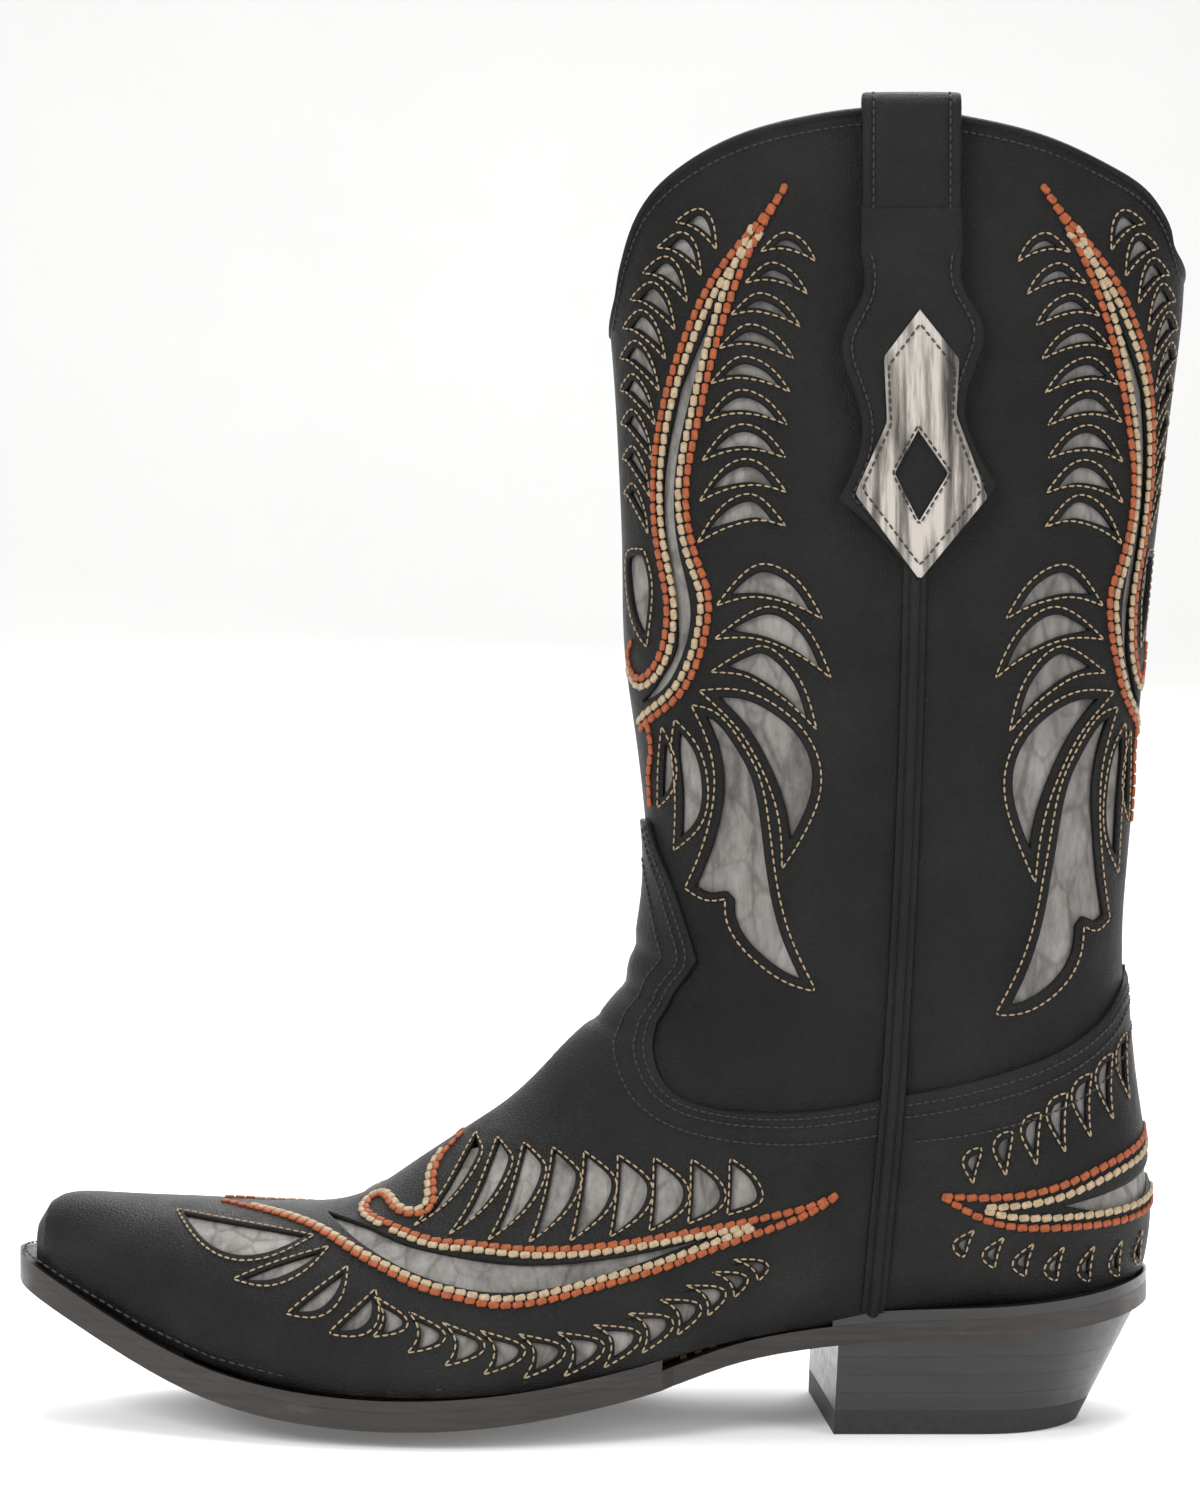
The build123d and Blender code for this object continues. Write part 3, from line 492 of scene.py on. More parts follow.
def shrink(outline, distance):
    """A closed outline moved in, without the part that folds over itself."""
    outline = closed(outline, 0.8)
    area = (outline[:, 0] * np.roll(outline[:, 1], -1) - np.roll(outline[:, 0], -1) * outline[:, 1]).sum()
    ahead = np.roll(outline, -1, axis=0) - np.roll(outline, 1, axis=0)
    ahead /= np.linalg.norm(ahead, axis=1)[:, None] + 1e-9
    inner = outline + np.column_stack([-ahead[:, 1], ahead[:, 0]]) * distance * (1 if area > 0 else -1)
    kept = inner[holds(outline, inner)]
    return kept[far_from(kept, outline, distance * 0.93)]


# ---- Materials ---------------------------------------------------------------------------------------------
class Nodes:
    """A material under construction."""

    def __init__(self, name, **settings):
        self.material = bpy.data.materials.new(name)
        self.material.use_nodes = True
        self.tree = self.material.node_tree
        self.shader = self.tree.nodes["Principled BSDF"]
        for socket, value in settings.items():
            self.shader.inputs[socket.replace("_", " ")].default_value = value
        self.place = self.add("ShaderNodeTexCoord").outputs["Object"]

    def add(self, kind, **values):
        node = self.tree.nodes.new(kind)
        for key, value in values.items():
            setattr(node, key, value)
        return node

    def join(self, source, target):
        self.tree.links.new(source, target)

    def noise(self, scale, detail=4.0, rough=0.55, stretch=None):
        node = self.add("ShaderNodeTexNoise")
        node.inputs["Scale"].default_value = scale
        node.inputs["Detail"].default_value = detail
        node.inputs["Roughness"].default_value = rough
        self.join(self.stretched(stretch), node.inputs["Vector"])
        return node.outputs["Fac"]

    def stretched(self, stretch):
        if stretch is None:
            return self.place
        node = self.add("ShaderNodeMapping")
        node.inputs["Scale"].default_value = stretch
        self.join(self.place, node.inputs["Vector"])
        return node.outputs["Vector"]

    def cells(self, scale, feature="DISTANCE_TO_EDGE", stretch=None):
        node = self.add("ShaderNodeTexVoronoi", feature=feature)
        node.inputs["Scale"].default_value = scale
        self.join(self.stretched(stretch), node.inputs["Vector"])
        return node.outputs["Distance"]

    def ramp(self, source, stops):
        node = self.add("ShaderNodeValToRGB")
        node.color_ramp.elements[0].position, node.color_ramp.elements[0].color = stops[0]
        node.color_ramp.elements[1].position, node.color_ramp.elements[1].color = stops[-1]
        for position, colour in stops[1:-1]:
            element = node.color_ramp.elements.new(position)
            element.color = colour
        self.join(source, node.inputs["Fac"])
        return node.outputs["Color"]

    def mix(self, factor, first, second, blend="MIX"):
        node = self.add("ShaderNodeMix", data_type="RGBA", blend_type=blend)
        for source, socket in ((factor, 0), (first, 6), (second, 7)):
            if isinstance(source, (int, float, tuple)):
                node.inputs[socket].default_value = source
            else:
                self.join(source, node.inputs[socket])
        return node.outputs[2]

    def sum(self, first, second, kind="ADD"):
        node = self.add("ShaderNodeMath", operation=kind)
        for source, socket in ((first, 0), (second, 1)):
            if isinstance(source, (int, float)):
                node.inputs[socket].default_value = source
            else:
                self.join(source, node.inputs[socket])
        return node.outputs[0]

    def spread(self, source, low, high, first=0.0, last=1.0):
        node = self.add("ShaderNodeMapRange")
        for socket, value in ((1, first), (2, last), (3, low), (4, high)):
            node.inputs[socket].default_value = value
        self.join(source, node.inputs[0])
        return node.outputs[0]

    def bump(self, height, strength, depth):
        node = self.add("ShaderNodeBump")
        node.inputs["Strength"].default_value = strength
        node.inputs["Distance"].default_value = depth
        self.join(height, node.inputs["Height"])
        self.join(node.outputs["Normal"], self.shader.inputs["Normal"])

    def colour(self, source):
        self.join(source, self.shader.inputs["Base Color"])

    def roughness(self, source):
        self.join(source, self.shader.inputs["Roughness"])


def grey(value, warm=0.0):
    return (value * (1 + warm), value, value * (1 - warm), 1)


def leather(name, dark=0.0035, light=0.0095, worn=0.032, low=0.32, high=0.5, grain=1.0, warm=0.03):
    """Black grained leather: fine pebbles and pores, a little burnishing and a soft sheen, with painted shade
    in the hollows between the pebbles and a painted highlight on their tops.
    """
    m = Nodes(name, IOR=1.47, Specular_IOR_Level=0.2)
    pebble = m.cells(900)
    fine = m.cells(2600)
    pores = m.noise(4200, 3)
    slack = m.noise(34, 5, 0.6)
    rub = m.noise(16, 6, 0.65)
    base = m.ramp(slack, [(0.3, grey(dark, warm)), (0.7, grey(light, warm))])
    rubbed = m.ramp(rub, [(0.56, (0, 0, 0, 1)), (0.8, (1, 1, 1, 1))])
    base = m.mix(m.sum(rubbed, 0.22, "MULTIPLY"), base, grey(worn, warm))
    # Painted shade and highlight: the colour is darkened in the hollows between the pebbles and lightened on
    # their tops.
    painted_pebble_shade = m.spread(pebble, 0.72, 1.12, 0.0, 0.28)
    m.colour(m.mix(1.0, base, painted_pebble_shade, "MULTIPLY"))
    m.roughness(m.spread(m.noise(60, 5, 0.6), low, high, 0.3, 0.7))
    height = m.sum(m.spread(pebble, 0.0, 1.0, 0.0, 0.2), m.sum(m.spread(fine, 0.0, 0.5, 0.0, 0.2), pores))
    m.bump(m.sum(height, m.sum(slack, 2.2, "MULTIPLY")), 0.6 * grain, 0.00025)
    return m.material


def inlay_leather():
    """Light grey leather, washed dark in its wrinkles; its greys are darkened overall as painted shade for
    the shadow in the windows it shows through.
    """
    m = Nodes("Inlay_leather", IOR=1.45)
    veins = m.cells(120, stretch=(1.0, 1.0, 0.5))
    warp = m.noise(90, 8, 0.75, (1, 1, 0.5))
    crack = m.sum(veins, m.sum(warp, 0.5, "MULTIPLY"))
    crack = m.ramp(crack, [(0.23, grey(0.25, 0.06)), (0.33, grey(0.95))])
    # Painted shade: these greys are kept darker than the leather's own, for the shadow inside the feather
    # windows.
    wash_and_painted_shade = m.noise(75, 9, 0.75, (1.0, 1.0, 0.35))
    wash_and_painted_shade = m.ramp(wash_and_painted_shade, [(0.34, grey(0.07, 0.09)), (0.66, grey(0.27, 0.06))])
    m.colour(m.mix(0.6, wash_and_painted_shade, m.mix(1.0, wash_and_painted_shade, crack, "MULTIPLY")))
    m.roughness(m.spread(m.noise(300, 3), 0.45, 0.62))
    m.bump(m.sum(m.cells(1300), m.noise(120, 6, 0.7)), 0.4, 0.00025)
    return m.material


def brushed_leather():
    """The strap overlay: grey with dark brush strokes down it."""
    m = Nodes("Brushed_leather", IOR=1.45)
    strokes = m.noise(260, 6, 0.62, (1.0, 1.0, 0.075))
    patches = m.noise(40, 4, 0.6, (1.0, 1.0, 0.3))
    mixed = m.sum(m.sum(strokes, 0.75, "MULTIPLY"), m.sum(patches, 0.35, "MULTIPLY"))
    m.colour(
        m.ramp(mixed, [(0.44, grey(0.02, 0.1)), (0.53, grey(0.16, 0.12)), (0.62, grey(0.42, 0.09))])
    )
    m.roughness(m.spread(strokes, 0.6, 0.42, 0.3, 0.7))
    m.bump(m.sum(strokes, m.cells(1200)), 0.35, 0.0002)
    return m.material


def thread_material(name, dark, light, rough=0.6):
    """Twisted thread: fine strands across the stitch and a little change from stitch to stitch."""
    m = Nodes(name, Roughness=rough, Sheen_Weight=0.1, Sheen_Roughness=0.4)
    m.colour(m.ramp(m.noise(900, 4, 0.7), [(0.3, dark), (0.72, light)]))
    m.bump(m.noise(5200, 3), 0.55, 0.00025)
    return m.material


def sole_edge(name, dark, light, scuff, rough=(0.32, 0.55)):
    """Finished sole leather: edge dressing with layers and scuffs."""
    m = Nodes(name, IOR=1.5, Coat_Weight=0.12, Coat_Roughness=0.25)
    layers = m.noise(90, 5, 0.6, (0.4, 0.4, 9.0))
    marks = m.ramp(m.noise(150, 7, 0.7, (0.35, 0.35, 1.6)), [(0.56, (0, 0, 0, 1)), (0.74, (1, 1, 1, 1))])
    m.colour(m.mix(m.sum(marks, 0.35, "MULTIPLY"), m.ramp(layers, [(0.35, dark), (0.68, light)]), scuff))
    m.roughness(m.spread(m.noise(120, 5, 0.7), rough[0], rough[1], 0.3, 0.7))
    m.bump(m.sum(m.noise(900, 5, 0.7), m.sum(layers, 1.4, "MULTIPLY")), 0.3, 0.0002)
    return m.material


def heel_finish():
    """The heel stack under its black polish, with faint lift lines and tiny pits."""
    m = Nodes("Heel_finish", IOR=1.5, Coat_Weight=0.35, Coat_Roughness=0.16)
    m.colour(m.ramp(m.noise(60, 5, 0.6, (0.5, 0.5, 5.0)), [(0.3, grey(0.006)), (0.75, grey(0.017))]))
    m.roughness(m.spread(m.noise(220, 6, 0.7), 0.28, 0.5, 0.3, 0.72))
    pits = m.ramp(m.cells(420, "F1"), [(0.1, (0, 0, 0, 1)), (0.2, (1, 1, 1, 1))])
    m.bump(m.sum(m.noise(700, 5, 0.7), m.sum(pits, 0.5, "MULTIPLY")), 0.3, 0.00022)
    return m.material


def plain(name, dark, light, scale=300.0, rough=0.6, metallic=0.0, depth=0.0002, stretch=None):
    """A mottled finish for parts that are mostly hidden."""
    m = Nodes(name, Roughness=rough, Metallic=metallic)
    pattern = m.noise(scale, 6, 0.65, stretch)
    m.colour(m.ramp(pattern, [(0.32, dark), (0.7, light)]))
    m.bump(pattern, 0.3, depth)
    return m.material


BLACK = leather("Black_leather")
VAMP_LEATHER = leather("Vamp_leather", dark=0.0045, light=0.013, worn=0.06, low=0.28, high=0.46)
TRIM = leather("Trim_leather", grain=0.7)
INLAY = inlay_leather()
BRUSHED = brushed_leather()
ORANGE = thread_material("Orange_thread", (0.17, 0.030, 0.004, 1), (0.42, 0.092, 0.012, 1))
CREAM = thread_material("Cream_thread", (0.25, 0.18, 0.10, 1), (0.52, 0.40, 0.26, 1))
TAN = thread_material("Tan_thread", (0.22, 0.155, 0.085, 1), (0.44, 0.33, 0.20, 1))
BLACK_THREAD = thread_material("Black_thread", grey(0.006), grey(0.022), 0.5)
LINING = plain("Lining_leather", (0.19, 0.13, 0.085, 1), (0.34, 0.25, 0.17, 1), 260, 0.6)
SOLE_EDGE = sole_edge("Sole_edge", (0.008, 0.006, 0.005, 1), (0.026, 0.019, 0.015, 1), (0.1, 0.08, 0.065, 1))
HEEL = heel_finish()


# ---- The pattern -------------------------------------------------------------------------------------------
SIDE_SEAM = [(91.0, 365), (89.8, 232), (87.1, 145), (84.0, 91.7), (81.0, 60), (77.0, 20)]
VAMP_TOP = [(19.7, 165), (21.8, 157.4), (25.0, 149.3), (29.5, 136.0), (32.1, 127.5)]
VAMP_THROAT = [(32.1, 127.5), (26.0, 118.5), (20.8, 109.0), (20.2, 101.0), (23.6, 93.5), (32.1, 88.9)]
VAMP_THROAT += [(48.2, 87.0), (67.0, 88.3), (84.0, 91.7)]
COUNTER_TOP = [(84.0, 91.7), (102.0, 95.0), (124.3, 101.3), (138.8, 109.0), (148.0, 118.0), (155.0, 129.0)]
COLLAR = [(8.6, 304), (15.0, 329), (28.0, 342.5), (45.0, 350.3), (65.0, 354.6), (84.0, 356.0)]
COLLAR += [(104.0, 353.6), (125.0, 349.0), (143.0, 342.0), (157.0, 333.5), (165.5, 317.0)]
FEATHER_LINE = [(77, 31), (60, 29.5), (40, 26.5), (22, 22.5), (6, 18.5), (-16, 15.0), (-46, 13.5), (-74, 15)]
FEATHER_LINE += [(-99, 19.5), (-120, 27), (-138, 35), (-147, 39.5)]
HEEL_LINE = [(77, 31), (98, 32), (114, 33.5), (138, 35.8), (148, 37.4)]


def side_line(points, spacing=2.0, from_back=False):
    """A smooth side view line as (s, v) points."""
    return from_side_view(through(points, spacing), from_back)


def mirrored(line):
    return np.asarray(line, float) * [-1, 1]


def both_ways(right):
    """An outline from its right half, which runs from the middle plane round to the middle plane."""
    right = np.asarray(right, float)
    return np.vstack([right, mirrored(right)[::-1][1:-1]])


def seam_between(high, low, shift):
    """Side view points along the side seam between two heights, moved toward the heel by shift."""
    seam = through(SIDE_SEAM, 3.0)
    seam = seam[(seam[:, 1] <= high) & (seam[:, 1] >= low)]
    return seam + [shift, 0]


def seam_x(z):
    seam = through(SIDE_SEAM, 3.0)[::-1]
    return float(np.interp(z, seam[:, 1], seam[:, 0]))


def front_panel_outline():
    collar = through(COLLAR, 3.0)
    collar = from_side_view(collar[collar[:, 0] < seam_x(356) - 0.5])
    seam = from_side_view(seam_between(353, 84, -0.5))
    foot = from_side_view([(70, 83), (26, 79), (13, 95), (14, 108), (24, 124)])
    return both_ways(np.vstack([[[0, collar[0, 1] + 4]], collar, seam, foot, [[0, 212]]]))


def back_panel_outline():
    collar = through(COLLAR, 3.0)
    collar = from_side_view(collar[collar[:, 0] > seam_x(356) + 0.5][::-1], True)
    seam = from_side_view(seam_between(353, 84, 0.5), True)
    foot = from_side_view([(102, 87), (124, 93), (139, 100), (148, 109)], True)
    return both_ways(np.vstack([[[0, collar[0, 1] + 4]], collar, seam, foot, [[0, 262]]]))


def vamp_outline():
    top = np.vstack([side_line(VAMP_TOP), side_line(VAMP_THROAT)[1:]])
    seam = from_side_view(seam_between(90, 33, -0.5))
    sole = side_line(FEATHER_LINE, 5.0)
    last = RUN[-1] - 0.1
    toe = [[36, 530.5], [31, 532.6], [21, 533.6], [5, last]]
    return both_ways(np.vstack([[[0, top[0, 1] - 1.0]], top, seam, sole[:-1], toe, [[0, last]]]))


def counter_outline():
    top = side_line(COUNTER_TOP, from_back=True)[::-1]
    seam = from_side_view(seam_between(90, 33, 0.5), True)
    sole = side_line(HEEL_LINE, 4.0, True)
    return both_ways(np.vstack([[[0, top[0, 1] - 1.5]], top, seam, sole, [[0, sole[-1, 1] - 4.5]]]))


# ---- The wings on the shaft --------------------------------------------------------------------------------
OUTER_RAIL = [(66, 25), (54, 45), (44, 69), (37, 90), (33, 109), (36, 126), (39, 136), (36, 150), (28, 162)]
OUTER_RAIL += [(18, 168), (9, 172)]
INNER_RAIL = [(66, 25), (60, 33), (47, 47), (37, 63), (28, 82), (23, 101), (23, 120), (26, 136), (24, 149)]
INNER_RAIL += [(18, 156), (11, 157), (7, 151), (11, 147)]
SLIT = [(47, 54), (37, 78), (30, 100), (29.5, 120), (33, 136), (31, 149), (23, 160), (13, 164)]
SLIT_BACK = [(18, 161), (27, 151.5), (28.6, 139), (25.6, 120), (26.4, 100), (33, 79)]
RIGHT_FEATHERS = [(58, 43, 73, 46, 66, 38), (42, 78, 64, 81, 53, 71), (36, 121, 61, 117, 50, 108)]
RIGHT_LOW = [(41, 138, 70, 142, 56, 127), (40, 147, 71, 158, 59, 139), (38, 156, 65, 172, 56, 150)]
LEFT_FEATHERS = [(46, 42, 34, 34, 43, 31), (28, 75, 12, 65, 22, 61), (20, 118, 8, 106, 15, 104)]
PLUME = ([(34, 161), (46, 161), (56, 166), (63, 175), (63, 190), (51, 211)],
         [(51, 211), (51, 195), (48, 182), (43, 171), (34, 161)])
TAIL = ([(31, 165), (39, 168), (45, 178), (48, 190), (49, 211), (54, 230), (63, 245)],
        [(63, 245), (53, 243), (42, 236), (36, 228), (35, 221)],
        [(35, 221), (29, 222), (22, 219)],
        [(22, 219), (29, 204), (34, 188), (34, 175), (31, 165)])
PETAL = ([(25, 169), (31, 177), (32, 189), (28, 200), (18, 208)],
         [(18, 208), (21, 190), (22, 178), (25, 169)])
SMALL_PETAL = ([(20, 171), (23, 181), (20, 190), (13, 195)], [(13, 195), (16, 182), (20, 171)])
CURL_LEAF = ([(18, 122), (21, 133), (18, 149)], [(18, 149), (10, 139), (7, 124), (18, 122)])
TAIL_RAIL = [(14, 170), (14, 178), (11, 184), (9, 195)]


def arcs(lines):
    """A closed outline of smooth lines that meet in corners."""
    return np.vstack([through(line, 0.9)[:-1] for line in lines])


def shaft_feathers():
    """Every feather of one wing: sewn outlines and windows."""
    feathers = feather_row(RIGHT_FEATHERS, 9, 0.3, 2.1) + feather_row(RIGHT_LOW, 3, 0.3, 2.3)
    feathers += feather_row(LEFT_FEATHERS, 10, 0.25, 1.9)
    for lines, inset in ((PLUME, 2.5), (TAIL, 2.5), (PETAL, 2.2), (SMALL_PETAL, 1.7), (CURL_LEAF, 1.9)):
        outline = arcs(lines)
        feathers.append((outline, shrink(outline, inset)))
    return feathers


def to_back(line):
    """A front wing's line moved to where the back wing has it, narrower toward the middle."""
    line = np.asarray(line, float)
    shift = np.interp(line[:, 1], [25, 60, 85, 110, 145, 170, 210, 245], [4, 6, 8, 9, 10, 9, 6, 6])
    return np.column_stack([line[:, 0] - shift * np.clip(line[:, 0] / 34, 0, 1), line[:, 1]])


def same(line):
    return np.asarray(line, float)


THREADS = {
    "orange": Thread("Orange_embroidery", ORANGE),
    "cream": Thread("Cream_embroidery", CREAM),
    "tan": Thread("Feather_stitching", TAN),
    "black": Thread("Seam_stitching", BLACK_THREAD),
}


def wing_threads(move, from_back, lift):
    """The stitches of both wings on one half of the shaft. Returns the sewn lines."""
    sewn = []
    for flip in (same, mirrored):
        for outline, _ in shaft_feathers():
            line = flip(move(np.vstack([outline, outline[:1]])))
            sewn.append(line)
            sew(THREADS["tan"], line, lift=lift, from_back=from_back)
        outer, inner = through(OUTER_RAIL, 1.0), through(INNER_RAIL, 1.0)
        for line, colour in (
            (outer, "orange"), (beside(outer, 2.3)[14:], "cream"),
            (inner, "orange"), (beside(inner, -2.3)[14:-8], "cream"),
            (through(TAIL_RAIL, 1.0), "orange"),
        ):
            satin(THREADS[colour], flip(move(line)), lift, from_back, 1.95)
    return sewn


def shaft_windows(move):
    """The cut-outs of both wings."""
    slit = np.vstack([through(SLIT, 1.0), through(SLIT_BACK, 1.0)])
    windows = []
    for flip in (same, mirrored):
        windows += [flip(move(window)) for _, window in shaft_feathers()]
        windows.append(flip(move(slit)))
    return windows


BACKING_TOP = [(0, 68), (14, 57), (24, 49), (34, 35), (44, 26), (74, 22)]
BACKING_TOP_BACK = [(0, 54), (14, 46), (24, 39), (36, 29), (50, 24), (74, 22)]


def add_shaft():
    """The two shaft panels with their wings, and the grey leather behind."""
    parts = []
    for name, outline, move, back in (
        ("front", front_panel_outline(), same, False),
        ("back", back_panel_outline(), to_back, True),
    ):
        sewn = wing_threads(move, back, 0.0)
        piece = panel(f"Shaft_{name}_panel", BLACK, outline, shaft_windows(move), sewn, 0.0, 1.3, back)
        parts.append((piece, f"shaft_{name}_panel", "black_leather"))
        top = BACKING_TOP_BACK if back else BACKING_TOP
        backing = both_ways(top + [(80, 60), (78, 180), (70, 250), (40, 250), (14, 234), (8, 207), (0, 207)])
        title = f"Shaft_{name}_inlay"
        under = panel(title, INLAY, backing, lift=-1.5, thick=0.6, from_back=back, spacing=4.0)
        parts.append((under, f"shaft_{name}_inlay", "grey_inlay"))
    return parts


# ---- The wings on the foot ---------------------------------------------------------------------------------
VAMP_UPPER = [(27, 402), (37, 395), (43, 387), (53, 377), (65, 361), (77, 338), (88, 316), (96, 300)]
VAMP_CURL = [(4, 346), (9, 362), (15, 373), (23, 381), (27, 389), (22, 396), (14, 396), (9, 400), (16, 407)]
VAMP_CURL += [(27, 402)]
VAMP_LOWER = [(3, 471), (13, 450), (23, 432), (36, 421), (44, 415), (51, 410), (58, 403), (65, 395)]
VAMP_LOWER += [(72, 379), (77, 367), (82, 353), (87, 334), (92, 317), (96, 300)]
VAMP_SLIT = [(12, 424), (24, 411), (34, 404), (44, 394), (57, 381), (68, 366), (76, 351), (82, 335)]
VAMP_SLIT_BACK = [(76, 358), (70, 375), (62, 391), (54, 401), (43, 410), (29, 418)]
VAMP_FEATHERS = [(30, 396, 8, 341, 19, 352), (58, 366, 36, 323, 52, 333), (79, 324, 66, 302, 81, 310)]
VAMP_LOW = [(62, 433, 50, 425, 60, 421), (92, 397, 80, 389, 90, 384), (101, 346, 91, 342, 98, 337)]
TOE_FEATHERS = [
    (26, 434, 12, 487, 34, 468),
    (31, 430, 40, 469, 43, 452),
    (39, 427, 52, 455, 53, 441),
    (48, 423, 59, 445, 60, 432),
]
COUNTER_RAIL = [(80, 291), (64, 287), (47, 281), (30, 274), (4, 266)]
COUNTER_LOW_RAIL = [(80, 291), (68, 293), (57, 292), (40, 288), (10, 281), (4, 280)]
COUNTER_WEDGE = [(0, 270), (30, 279.5), (46, 285), (30, 284), (0, 276)]
COUNTER_FEATHERS = [(72, 286, 69, 277, 75, 281), (45, 274, 40, 261, 48, 266), (17, 261, 13, 246, 21, 252)]
COUNTER_LOW = [(69, 296, 66, 304, 72, 301), (44, 293, 41, 301, 47, 299), (16, 286, 13, 293, 19, 291)]


def foot_threads(feathers, rails, from_back, lift):
    """The stitches of both wings on the vamp or the counter. Returns the sewn lines."""
    sewn = []
    for flip in (same, mirrored):
        for outline, _ in feathers:
            line = flip(np.vstack([outline, outline[:1]]))
            sewn.append(line)
            sew(THREADS["tan"], line, lift=lift, from_back=from_back)
        for line, colour, distance, start, stop in rails:
            line = beside(through(line, 1.0), distance) if distance else through(line, 1.0)
            satin(THREADS[colour], flip(line[start : len(line) - stop]), lift, from_back, 1.95)
    return sewn


def add_foot():
    """The vamp and the counter with their wings, and the grey leather behind."""
    upper = feather_row(VAMP_FEATHERS, 9, 0.05, 1.6)
    lower = feather_row(VAMP_LOW, 12, 0.3, 1.5)
    toe = [crescent(row[:2], row[2:4], row[4:], 0.0, 2.2) for row in TOE_FEATHERS]
    feathers = upper + lower + toe
    rails = [
        (VAMP_UPPER, "orange", 0, 0, 0),
        (VAMP_CURL, "orange", 0, 0, 0),
        (VAMP_UPPER, "cream", 2.2, 0, 26),
        (VAMP_CURL, "cream", 2.0, 14, 3),
        (VAMP_LOWER, "cream", -2.2, 12, 26),
        (VAMP_LOWER, "orange", 0, 0, 0),
    ]
    lift = 1.5
    sewn = foot_threads(feathers, rails, False, lift)
    slit = np.vstack([through(VAMP_SLIT, 1.0), through(VAMP_SLIT_BACK, 1.0)])
    windows = [flip(window) for flip in (same, mirrored) for window in [w for _, w in feathers] + [slit]]
    vamp = panel("Vamp", VAMP_LEATHER, vamp_outline(), windows, sewn, lift, 1.3)
    under = [(0, 380), (18, 335), (60, 296), (90, 296), (104, 340), (100, 395), (72, 440)]
    under = both_ways(under + [(30, 500), (0, 500)])
    backing = panel("Vamp_inlay", INLAY, under, lift=0.05, thick=0.6, spacing=4.0)
    feathers = feather_row(COUNTER_FEATHERS, 7, 0.1, 1.5) + feather_row(COUNTER_LOW, 7, 0.2, 1.4)
    rails = [
        (COUNTER_RAIL, "orange", 0, 0, 0), (COUNTER_RAIL, "cream", -2.1, 12, 0),
        (COUNTER_LOW_RAIL, "orange", 0, 0, 0), (COUNTER_LOW_RAIL, "cream", 2.1, 12, 0),
    ]
    sewn = foot_threads(feathers, rails, True, lift)
    windows = [flip(w) for flip in (same, mirrored) for _, w in feathers]
    windows.append(both_ways(COUNTER_WEDGE))
    counter = panel("Heel_counter", VAMP_LEATHER, counter_outline(), windows, sewn, lift, 1.3, True)
    under = both_ways([(0, 244), (30, 250), (80, 272), (82, 300), (60, 306), (0, 296)])
    heel_under = panel("Heel_counter_inlay", INLAY, under, lift=0.05, thick=0.6, from_back=True, spacing=4.0)
    return [
        (vamp, "vamp", "black_leather"), (backing, "vamp_inlay", "grey_inlay"),
        (counter, "heel_counter_cover", "black_leather"), (heel_under, "heel_counter_inlay", "grey_inlay"),
    ]


# ---- Seams, bead and piping --------------------------------------------------------------------------------
def seam_rows():
    """Black rows of stitching beside the vamp's and counter's top edges and under the collar."""
    vamp_top = np.vstack([side_line(VAMP_TOP), side_line(VAMP_THROAT)[1:]])
    counter_top = side_line(COUNTER_TOP, from_back=True)
    for flip in (same, mirrored):
        for distance in (-2.2, -4.8, -10.5):
            line = beside(through(vamp_top[::3], 1.0), -distance)
            sew(THREADS["black"], flip(line[line[:, 0] > 1.5]), 2.2, 1.7, 0.6, 0.6, 1.5)
            line = beside(through(counter_top[::3], 1.0), distance)
            sew(THREADS["black"], flip(line[line[:, 0] > 1.5]), 2.2, 1.7, 0.6, 0.6, 1.5, True)
        collar = from_side_view(through(COLLAR, 1.5))
        sew(THREADS["black"], flip(collar + [0, 3.2]), 2.2, 1.7, 0.6, 0.6, 0.0)


def sweep(name, material, centres, sideways, upward, profile, closed_path=False):
    """A closed profile of (sideways, up) points carried along a path."""
    profile = np.asarray(profile, float)
    size = len(profile)
    points = centres[:, None] + profile[None, :, :1] * sideways[:, None]
    points = points + profile[None, :, 1:] * upward[:, None]
    faces = []
    count = len(centres)
    for i in range(count if closed_path else count - 1):
        k = (i + 1) % count
        for j in range(size):
            m = (j + 1) % size
            faces.append((i * size + j, i * size + m, k * size + m, k * size + j))
    if not closed_path:
        faces += [tuple(range(size))[::-1], tuple((count - 1) * size + j for j in range(size))]
    return make_mesh(name, points.reshape(-1, 3), faces, material, sharp=60)


def oval(wide, high, sides=12, up=0.0):
    turn = np.arange(sides) * 2 * math.pi / sides
    return np.column_stack([np.cos(turn) * wide, np.sin(turn) * high + up])


def add_bead():
    """The rolled bead round the shaft's top edge."""
    half = from_side_view(through(COLLAR, 2.0))
    half = np.vstack([[[0.01, half[0, 1] + 3.5]], half])
    back = GIRTH[0] - 0.3
    half = np.vstack([half, [[back, half[-1, 1] + 3.5]]])
    half = through(half[::3], 2.0)
    ring = np.vstack([half, mirrored(half)[::-1][1:-1]])
    points, normals = on_upper(ring, -1.6)
    along = np.roll(points, -1, axis=0) - np.roll(points, 1, axis=0)
    along /= np.linalg.norm(along, axis=1)[:, None]
    up = np.cross(along, normals)
    up *= np.sign(up[:, 2:])
    return sweep("Collar_bead", TRIM, points, normals, up, oval(2.0, 1.35, 14, 0.15), True)


PIPING = [(-3.3, 0.15), (-3.1, 0.75), (-1.75, 0.95), (-1.45, 1.7), (-0.8, 2.35), (0, 2.55)]
PIPING += [(0.8, 2.35), (1.45, 1.7), (1.75, 0.95), (3.1, 0.75), (3.3, 0.15), (0, -0.6)]


